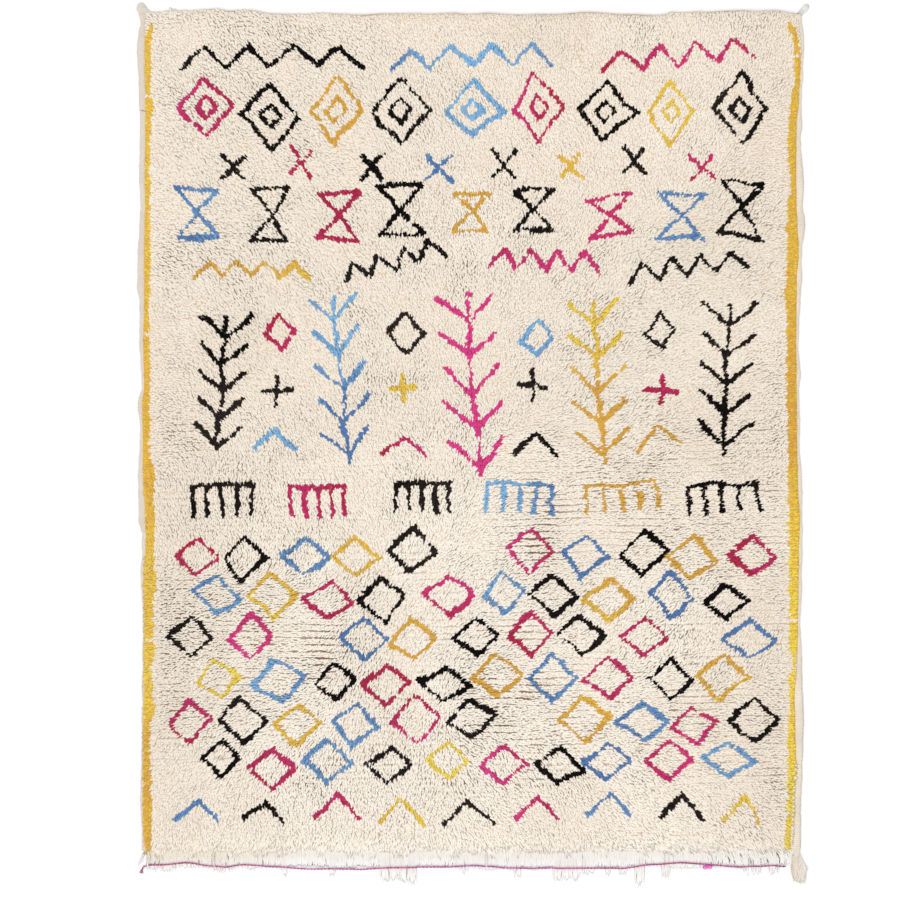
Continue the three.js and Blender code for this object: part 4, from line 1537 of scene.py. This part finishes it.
def fringe_lengths(x, hung, apart, chance):
    """The clump's length where a thread hangs in one, else a short length that drifts from place to place,
    both with some chance and a bit that lies under the pile."""
    inside = (hung[:, None] >= LONG_CLUMPS["start"]) & (hung[:, None] <= LONG_CLUMPS["stop"])
    short = 0.052 + 0.006 * swing(x, 0 * x, 0.03, 60) + 0.011 * apart
    long = np.where(inside.any(1), (inside * LONG_CLUMPS["length"]).sum(1), short)
    under_pile = 0.010
    return long * chance.uniform(0.92, 1.06, len(x)) + under_pile


def fringe_headings(x, slant, apart, felted, chance):
    """Straight down the cloth, with the slant, two sizes of drift that neighbours share, one more for each
    lock, and chance, most of it where threads are felted."""
    drift = (0.06 + 0.05 * apart) * swing(x, 0 * x, 0.03, 61)
    drift += (0.03 + 0.06 * apart) * swing(x, 0 * x, 0.011, 62)
    lock = np.floor(x / 0.0075)
    drift += (0.03 + 0.03 * apart) * swing(lock, 0 * lock, 0.37, 64)
    return -np.pi / 2 + drift + slant + (0.03 + 0.14 * felted) * chance.normal(0, 1, len(x))


def fringe_threads(edge, chance):
    """Warp threads from the lower end, close enough to hide the floor. Each hangs its clump's length, and its
    heading drifts with its neighbours'. To the right they come apart, and slant as far as the pink thread. To
    the left they are felted and wavy. A few lie over the pink thread."""
    count, rings, tucked = edge.threads, 5, 0.008
    left, right = cloth_side(-1, np.zeros(1))[0] + 0.010, cloth_side(1, np.zeros(1))[0]
    x = left + (right - left) * (np.arange(count) + chance.uniform(0.2, 0.8, count)) / count
    apart, felted = smooth_step((x - 0.68) / 0.10), smooth_step((-0.62 - x) / 0.15)
    slant, slanted_run = 0.40 * apart, 0.048
    length = fringe_lengths(x, x + slanted_run * np.sin(slant), apart, chance)
    heading = fringe_headings(x, slant, apart, felted, chance)
    over = np.zeros((count, 1))
    over[[np.argmin(abs(x - place)) for place in COVERED_PLACES]] = 1
    heading = np.where(over[:, 0] > 0, -np.pi / 2, heading)[:, None]
    station = np.linspace(0, 1, rings + 2)
    swell = (chance.uniform(0.4, 1.6, count) * (1 + felted + apart))[:, None]
    wave = 0.0015 * swell * np.sin(station * 7 + chance.uniform(0, 6, count)[:, None])
    run = length[:, None] * station
    straight = np.maximum(run - slanted_run, 0) * np.sin(slant)[:, None]
    across = x[:, None] + run * np.cos(heading) - straight - wave * np.sin(heading)
    up = cloth_end(-1, x)[:, None] + tucked + run * np.sin(heading) + wave * np.cos(heading)
    layer = 0.0011 + chance.uniform(0, 0.0006, count)
    from_pile = 0.0054 * (1 - smooth_step((run - 0.004) / 0.034))
    z = layer[:, None] * (1 - 0.3 * smooth_step((station - 0.75) / 0.25)) + from_pile
    z += over * 0.0070 * smooth_step(run / 0.03)
    path = np.stack([across, up, z], -1)
    taper = np.array((1.0, 1.0, 0.95, 0.85, 0.6))
    wide = edge.thread_width * taper * ((1 - 0.28 * apart) * chance.uniform(0.8, 1.2, count))[:, None]
    wide *= 1 - 0.35 * over
    tall = np.full_like(wide, 0.0014)
    tone = (x + 0.78) / 0.34 + chance.normal(0, 0.15, count)
    shade = tone_row(tone) + chance.integers(0, SHADE_ROWS // TONES, count)
    return strand_mesh(path, level_across(path), wide, tall, round_profile(3, 0.25), shade)


def fringe_shade_strips():
    """Flat brown strips side by side under the warp ends, from the pile's lower edge to the pink thread:
    painted shade that shows in the gaps between the ends.
    """
    picks, steps, left, right = 12, 96, -0.955, 0.945
    across = np.linspace(left, right, steps + 1)
    top, bottom = cloth_end(-1, across) + 0.004, thread_place(across)[0] + 0.010
    parts = []
    for pick in range(picks):
        y = top + (bottom - top) * (pick + 0.5) / picks
        line = np.stack([across, y, np.full_like(across, 0.0006)], -1)
        size = np.full(steps - 1, 0.0050)
        parts.append(long_strand(line, size, size * 0.16, 4, laps=1))
    return join(parts)


def twined_thread(chance):
    """Two plies wound round the thread's route as two opposite helices, and fine ends that come out of its
    left end. A ply is as far to the left as the radius times the cosine of its turn, and as far up as its
    sine."""
    steps, ply_turn = 1536, 0.021
    across = np.linspace(THREAD_ROUTE["across"][0], THREAD_ROUTE["across"][-1], steps + 1)
    y, z = thread_place(across)
    y = y + 0.0009 * swing(across, 0 * across, 0.03, 71)
    run = np.concatenate([[0], np.cumsum(np.hypot(np.diff(across), np.diff(y)))])
    along = unit(np.stack([np.gradient(across), np.gradient(y), 0 * y], -1))
    left = np.stack([-along[:, 1], along[:, 0], 0 * y], -1)
    turn = run * 2 * np.pi / ply_turn + 0.8 * swing(across, 0 * across, 0.05, 72)
    ply, radius = THREAD_DIAMETER * 0.68, THREAD_DIAMETER * 0.30
    parts = []
    for start in (0, np.pi):
        angle = start + turn
        line = np.stack([across, y, z], -1) + left * (radius * np.cos(angle))[:, None]
        size = ply * (0.84 + 0.30 * lattice_noise(across, 0 * across, 0.008, 73 + len(parts)))
        line[:, 2] = np.maximum(line[:, 2] + radius * np.sin(angle), size / 2)
        parts.append(long_strand(line, size[1:-1], size[1:-1], 4))
    loose_ends = 9
    heads = np.tile((across[0] + 0.001, y[0] + 0.008, 0.003), (loose_ends, 1))
    down = np.radians(-92)
    parts.append(fan(heads, chance, down, spread_angle=1.5, length=0.014, sway=0.001, width=0.0013, rings=5))
    return join(parts)


def corner_tab():
    """The rounded end of a thick felted loop: an oval section carried from the cloth's corner up to a round
    tip, with a soft dent down its middle."""
    sides, rings, tip_from = 20, 26, 0.62
    share = np.linspace(0, 1, rings + 2)
    line = np.stack([read_table(CORNER_TAB, column, share) for column in ("across", "up")] + [0 * share], -1)
    width = read_table(CORNER_TAB, "width", share)
    round_tip = np.sqrt(np.clip(1 - ((share - tip_from) / (1 - tip_from)).clip(0) ** 2, 0, 1))
    height = CORNER_TAB_HEIGHT * (0.62 + 0.38 * round_tip)
    line[:, 2] = height / 2
    profile = round_profile(sides)
    dent = 1 - 0.16 * np.exp(-((profile[:, 0] / 0.30) ** 2)) * (profile[:, 1] > 0)
    profile = profile * np.stack([np.ones(sides), dent], 1)
    path, rings_only = line[None], slice(1, -1)
    wide, tall = (width * round_tip)[None, rings_only], height[None, rings_only]
    return strand_mesh(path, level_across(path), wide, tall, profile, np.zeros(1, int))


def bow_mesh(chance):
    """Two fluffy loops of doubled yarn, each an oval spiral that fills its middle, and a knot between
    them."""
    middle = bow_middle()
    yarn, turns = 0.0030, 2.2
    parts = []
    for side in (-1, 1):
        for layer in (0, 1):
            angle = np.linspace(0, 2 * np.pi * turns, 46)
            shrink = 1 - 0.62 * angle / angle[-1]
            reach = 0.0068 - 0.0010 * layer
            x = side * (0.0072 + reach * shrink * np.cos(angle + np.pi))
            y = (0.0054 - 0.0010 * layer) * shrink * np.sin(angle) + 0.0006 * side
            z = -0.0008 + 0.0016 * layer + 0.0006 * np.sin(angle * 2.3)
            line = middle + np.stack([x, y, z], -1)
            size = np.full(len(angle) - 2, yarn * (0.95 + 0.1 * chance.random()))
            parts.append(long_strand(line, size, size, 5, turn=0.1 * layer))
    angle = np.linspace(-np.pi / 2, np.pi / 2, 9)
    knot = middle + np.stack([0 * angle, 0.0040 * np.sin(angle), 0.0004 + 0 * angle], -1)
    size = 0.0046 * np.cos(angle)[1:-1] ** 0.5 + 0.0004
    parts.append(long_strand(knot, size, size * 0.8, 8))
    return join(parts)


def edge_binding():
    """A thin cord of ground weft along the cloth's upper end."""
    steps = 384
    u = np.linspace(0.012, 0.988, steps + 1)
    x, y = cloth_place(u, np.ones_like(u))
    wave = 0.0004 * swing(x, 0 * x, 0.012, 81)
    line = np.stack([x, y - 0.0010 + wave, np.full_like(x, 0.0062)], -1)
    size = 0.0026 * (0.9 + 0.25 * lattice_noise(x, 0 * x, 0.015, 82))[1:-1]
    return long_strand(line, size, size, 6)


# Operators


class RUG_OT_stage(bpy.types.Operator):
    """Makes the camera over the rug, the soft light and the pale floor."""

    bl_idname = "rug.stage"
    bl_label = "Stage"

    def execute(self, context):
        stage = context.scene.rug_stage
        picture_middle = np.array((-0.063, -0.056))
        sun_size, sun_turn = 50, (32, -30, 0)
        x, y = picture_middle + CLOTH_SHIFT[:2]
        camera = bpy.data.objects.new("camera", bpy.data.cameras.new("camera"))
        camera.data.lens = stage.lens
        camera.location = (x, y, stage.distance)
        context.scene.collection.objects.link(camera)
        context.scene.camera = camera
        context.scene.view_settings.view_transform = "Standard"

        sun = bpy.data.objects.new("key_light", bpy.data.lights.new("key_light", "SUN"))
        sun.data.energy = stage.key
        sun.data.angle = np.radians(sun_size)
        sun.rotation_euler = np.radians(sun_turn)
        context.scene.collection.objects.link(sun)

        world = bpy.data.worlds.new("soft_light")
        world.use_nodes = True
        background = world.node_tree.nodes["Background"]
        background.inputs["Color"].default_value = (1, 1, 1, 1)
        background.inputs["Strength"].default_value = stage.fill
        context.scene.world = world
        self.add_floor(context, stage)
        return {"FINISHED"}

    def add_floor(self, context, stage):
        """A square floor a hair under the rug, whose colour hardly changes from place to place."""
        half, drop = 14.0, -0.0004
        corners = [(-half, -half, drop), (half, -half, drop), (half, half, drop), (-half, half, drop)]
        mesh = bpy.data.meshes.new("floor")
        mesh.from_pydata(corners, [], [(0, 1, 2, 3)])
        material = bpy.data.materials.new("Pale floor")
        material.use_nodes = True
        tree = material.node_tree
        shade = spread(tree, noise(tree, object_place(tree), 2.0), 0.3, 0.7, 0.99, 1.0)
        shader = tree.nodes["Principled BSDF"]
        tree.links.new(shaded(tree, stage.floor, shade), shader.inputs["Base Color"])
        shader.inputs["Roughness"].default_value = 0.9
        mesh.materials.append(material)
        floor = bpy.data.objects.new("floor", mesh)
        context.scene.collection.objects.link(floor)


class RUG_OT_ground(bpy.types.Operator):
    """Makes the woven ground that the pile is knotted into."""

    bl_idname = "rug.ground"
    bl_label = "Ground cloth"

    def execute(self, context):
        points, faces, underside, colours = ground_sheet(context.scene.rug_pile)
        woven = ground_material(context.scene.rug_edge)
        mesh_parts, slot, node = (points, faces, None), "ground", "pile_field"
        add_piece("ground_cloth", mesh_parts, woven, slot, node, underside=underside, colours=colours)
        return {"FINISHED"}


class RUG_OT_pile(bpy.types.Operator):
    """Makes the wool pile, tuft by tuft, in its five wools."""

    bl_idname = "rug.pile"
    bl_label = "Pile"

    def execute(self, context):
        pile = context.scene.rug_pile
        # Root shade under one is painted shade towards each tuft's root, and the cream's dash is partly painted
        # slit shade
        natural = {"Root shade": 0.92, "Contrast": 0.06, "Speck and slit shade": 1.0}
        pale_root = {"Root shade": 0.92, "Contrast": 0.2}
        matt = {"sheen": 0.0, "shine": 0.08}
        wools = {
            "pile": spun_material("Cream wool", pile.cream, pile.pale_cream, natural),
            "pile_yellow": spun_material("Yellow wool", pile.yellow, pile.lemon, pale_root),
            "pile_pink": spun_material("Pink wool", pile.pink, pile.rose, {"Contrast": 0.3}, sheen=0.1),
            "pile_blue": spun_material("Blue wool", pile.blue, pile.sky, {"Contrast": 0.2}, sheen=0.1),
            "pile_black": spun_material("Black wool", pile.black, pile.charcoal, {"Contrast": 0.5}, **matt),
        }
        chance = np.random.default_rng(2510)
        for name, slot, mesh_parts in pile_tufts(pile, chance):
            add_piece(name, mesh_parts, wools[slot], slot, "pile_field")
        return {"FINISHED"}


class RUG_OT_side_cords(bpy.types.Operator):
    """Makes the two overcast side cords, the left one with its small red mark."""

    bl_idname = "rug.side_cords"
    bl_label = "Side cords"

    def execute(self, context):
        edge = context.scene.rug_edge
        in_lap = edge.turns / SHADE_ROWS
        mark_across, mark_down, mark_size = -0.983, 0.294, (0.013, 0.0026, 0.02)
        middle = np.array((mark_across, CLOTH_LENGTH / 2 - mark_down, CORD_HEIGHT)) + CLOTH_SHIFT
        mark = (middle, mark_size, CORD_MARK_RED)
        left = wrapped_material("Left cord wool", edge.left_cord, in_lap, mark)
        right = wrapped_material("Right cord wool", edge.cord, in_lap)
        add_piece("left_side_cord", side_cord(-1, edge.turns), left, "selvedge", "selvedge_left")
        add_piece("right_side_cord", side_cord(1, edge.turns), right, "selvedge", "selvedge_right")
        return {"FINISHED"}


class RUG_OT_upper_end(bpy.types.Operator):
    """Makes the thin cord along the upper end, the corner loop, the soft corner end and the loose tuft."""

    bl_idname = "rug.upper_end"
    bl_label = "Upper end"

    def execute(self, context):
        edge = context.scene.rug_edge
        chance = np.random.default_rng(17)
        binding = wrapped_material("End cord wool", edge.end_cord, turns_in_lap=6)
        add_piece("upper_end_cord", edge_binding(), binding, "selvedge", "pile_field")
        felt = felt_material(edge.loop, edge.loop_rim_shade)
        add_piece("corner_loop_cord", corner_tab(), felt, "corner_cord", "corner_loop")
        values = {"Tip share": 0.45, "Root shade": 0.80, "Contrast": 0.04}
        soft = spun_material("Soft end wool", edge.soft_end, edge.soft_end_light, values)
        add_piece("corner_end_yarns", self.corner_end(chance), soft, "corner_cord", "corner_end")
        # Root shade over one is painted light towards the tuft's roots, against its shade
        values = {"Root shade": 1.05, "Contrast": 0.04}
        tuft = spun_material("Tuft wool", edge.tuft, edge.tuft_light, values)
        add_piece("edge_tuft_yarns", self.edge_tuft(chance), tuft, "tassel", "edge_tuft")
        return {"FINISHED"}

    def corner_end(self, chance):
        """A slim soft end of side by side yarns, from the upper right corner outwards. Those in its middle
        are longest, by the square of the distance from it."""
        count, heading, half_width = 40, np.radians(48), 0.0066
        aside = half_width * np.linspace(-1, 1, count)[:, None]
        root = np.array((0.983, 1.2485, 0.003))
        heads = root + aside * (-np.sin(heading), np.cos(heading), 0)
        length = 0.048 * (1 - 0.22 * (aside[:, 0] / half_width) ** 2)
        look = {"sway": 0.0014, "width": 0.0022, "rings": 5, "lift": 0.0014}
        return fan(heads, chance, heading, spread_angle=0.22, length=length, **look)

    def edge_tuft(self, chance):
        """Three short locks that rise over the upper edge."""
        yarns, reach, up = 9, (0.0028, 0.0020, 0), np.radians(92)
        look = {"sway": 0.0010, "width": 0.0024, "rings": 5, "lift": 0.002, "fall": 1.0}
        locks = []
        for across, length in ((-0.9015, 0.036), (-0.8930, 0.031), (-0.8865, 0.030)):
            heads = np.array((across, 1.2385, 0.0125)) + chance.uniform(-1, 1, (yarns, 3)) * reach
            locks.append(fan(heads, chance, up, spread_angle=-0.05, length=length, **look))
        return join(locks)


class RUG_OT_fringe(bpy.types.Operator):
    """Makes the warp fringe along the lower end and the brown strips of painted shade under it."""

    bl_idname = "rug.fringe"
    bl_label = "Warp fringe"

    def execute(self, context):
        edge = context.scene.rug_edge
        chance = np.random.default_rng(29)
        # Root shade over one is painted light at the warp ends' roots, against the shade by the pile's edge
        values = {"Root shade": 1.03, "Tip share": 0.8, "Contrast": 0.06}
        warp = spun_material("Warp wool", edge.warp, edge.warp_white, values)
        add_piece("warp_threads", fringe_threads(edge, chance), warp, "fringe", "warp_fringe")
        # Brown strips under the warp ends: painted shade seen in the gaps between them
        weft = spun_material("Fringe shade wool", edge.fringe_shade_brown, edge.fringe_shade_brown, {"Root shade": 1.0})
        add_piece("fringe_shade_strips", fringe_shade_strips(), weft, "fringe", "warp_fringe")
        return {"FINISHED"}


class RUG_OT_lower_corners(bpy.types.Operator):
    """Makes the tassel at the lower right corner and the wisp at the lower left one."""

    bl_idname = "rug.lower_corners"
    bl_label = "Tassel and wisp"

    def execute(self, context):
        edge = context.scene.rug_edge
        chance = np.random.default_rng(43)
        values = {"Root shade": 0.97, "Contrast": 0.10, "Tip share": 0.15}
        tassel = spun_material("Tassel wool", edge.tassel, edge.tassel_light, values)
        parts = [self.tassel_neck(), self.tassel(chance), self.tassel_side(chance)]
        add_piece("corner_tassel_yarns", join(parts), tassel, "tassel", "corner_tassel")
        wisp = spun_material("Wisp wool", edge.wisp, edge.wisp_light, {"Tip share": 0.8})
        add_piece("corner_wisp_threads", self.wisp(chance), wisp, "fringe", "corner_wisp")
        return {"FINISHED"}

    def tassel_neck(self):
        """The right cord's last bit beyond the cloth, which narrows into the tassel."""
        station = np.linspace(0, 1, 16)
        width = 0.029 - 0.0085 * station
        height = 0.0080 - 0.0015 * station
        line = np.stack([0.9735 + 0.0015 * station, -1.243 - 0.037 * station, height / 2], -1)
        return long_strand(line, width[1:-1], height[1:-1], 10, laps=1)

    def tassel(self, chance):
        """Yarns that come out of the neck and hang down. Those on the right are paler."""
        count, down = 96, np.radians(-82)
        share = np.linspace(0, 1, count)
        x = 0.9650 + 0.0190 * share + chance.normal(0, 0.0006, count)
        y = -1.268 + chance.uniform(-0.006, 0.005, count)
        heads = np.stack([x, y, chance.uniform(0.0030, 0.0064, count)], 1)
        length = 0.084 + 0.006 * share + chance.normal(0, 0.004, count)
        look = {"sway": 0.0030, "width": 0.0029, "rings": 9, "lift": 0.0030, "fall": 0.9}
        return fan(heads, chance, down, spread_angle=0.34, length=length, tone=1.6 * share - 0.8, **look)

    def tassel_side(self, chance):
        """Shorter pale yarns that stand out from the tassel's right side."""
        count, down = 26, np.radians(-64)
        share = np.linspace(0, 1, count)
        heads = np.stack([0.978 + 0.005 * share, -1.272 + 0.002 * share, np.full(count, 0.0045)], 1)
        length = 0.072 - 0.022 * share + chance.normal(0, 0.005, count)
        look = {"sway": 0.0040, "width": 0.0026, "rings": 9, "lift": 0.0030, "fall": 0.9}
        return fan(heads, chance, down, spread_angle=0.44, length=length, tone=np.ones(count), **look)

    def wisp(self, chance):
        """A few fine warp threads that have come loose beyond the lower left corner."""
        count, down = 16, np.radians(-110)
        x = chance.uniform(-0.985, -0.979, count)
        heads = np.stack([x, np.full(count, -1.263), np.full(count, 0.003)], 1)
        length = np.linspace(0.052, 0.038, count)
        look = {"sway": 0.0012, "width": 0.0010, "rings": 7, "lift": 0.001}
        return fan(heads, chance, down, spread_angle=0.50, length=length, **look)


class RUG_OT_thread(bpy.types.Operator):
    """Makes the pink thread across the warp ends and its bow."""

    bl_idname = "rug.thread"
    bl_label = "Pink thread and bow"

    def execute(self, context):
        edge = context.scene.rug_edge
        chance = np.random.default_rng(7)
        dyed = thread_material(edge.thread, edge.thread_light)
        add_piece("twined_thread", twined_thread(chance), dyed, "thread", "heading_thread")
        values = {"Root shade": 1.0, "Contrast": 0.2}
        bright = spun_material("Bow wool", edge.bow, edge.bow_light, values)
        add_piece("bow_yarn", bow_mesh(chance), bright, "bow", "thread_bow")
        return {"FINISHED"}


class RUG_PT_panel(bpy.types.Panel):
    """Lists the rug's settings and operators."""

    bl_idname = "RUG_PT_panel"
    bl_label = "Azilal rug"
    bl_space_type = "VIEW_3D"
    bl_region_type = "UI"
    bl_category = "Azilal rug"

    def draw(self, context):
        """A box for each group of settings, then a button for each operator."""
        for settings in (context.scene.rug_stage, context.scene.rug_edge, context.scene.rug_pile):
            box = self.layout.box()
            for name in settings.__annotations__:
                box.prop(settings, name)
        for operator in OPERATORS:
            self.layout.operator(operator.bl_idname)


SETTINGS = {"rug_pile": PileSettings, "rug_edge": EdgeSettings, "rug_stage": StageSettings}
OPERATORS = (
    RUG_OT_stage,
    RUG_OT_ground,
    RUG_OT_pile,
    RUG_OT_side_cords,
    RUG_OT_upper_end,
    RUG_OT_fringe,
    RUG_OT_lower_corners,
    RUG_OT_thread,
)


def register():
    """Registers the classes and hangs the settings on the scene."""
    for group in (*SETTINGS.values(), *OPERATORS, RUG_PT_panel):
        bpy.utils.register_class(group)
    for name, group in SETTINGS.items():
        setattr(bpy.types.Scene, name, PointerProperty(type=group))


def unregister():
    """Takes back what register does, in the opposite order."""
    for name in SETTINGS:
        delattr(bpy.types.Scene, name)
    for group in (RUG_PT_panel, *reversed(OPERATORS), *reversed(SETTINGS.values())):
        bpy.utils.unregister_class(group)


def main():
    """Registers the classes and runs the operators in order, which makes the stage and every piece."""
    register()
    for operator in OPERATORS:
        category, name = operator.bl_idname.split(".")
        getattr(getattr(bpy.ops, category), name)()


if __name__ == "__main__":
    main()
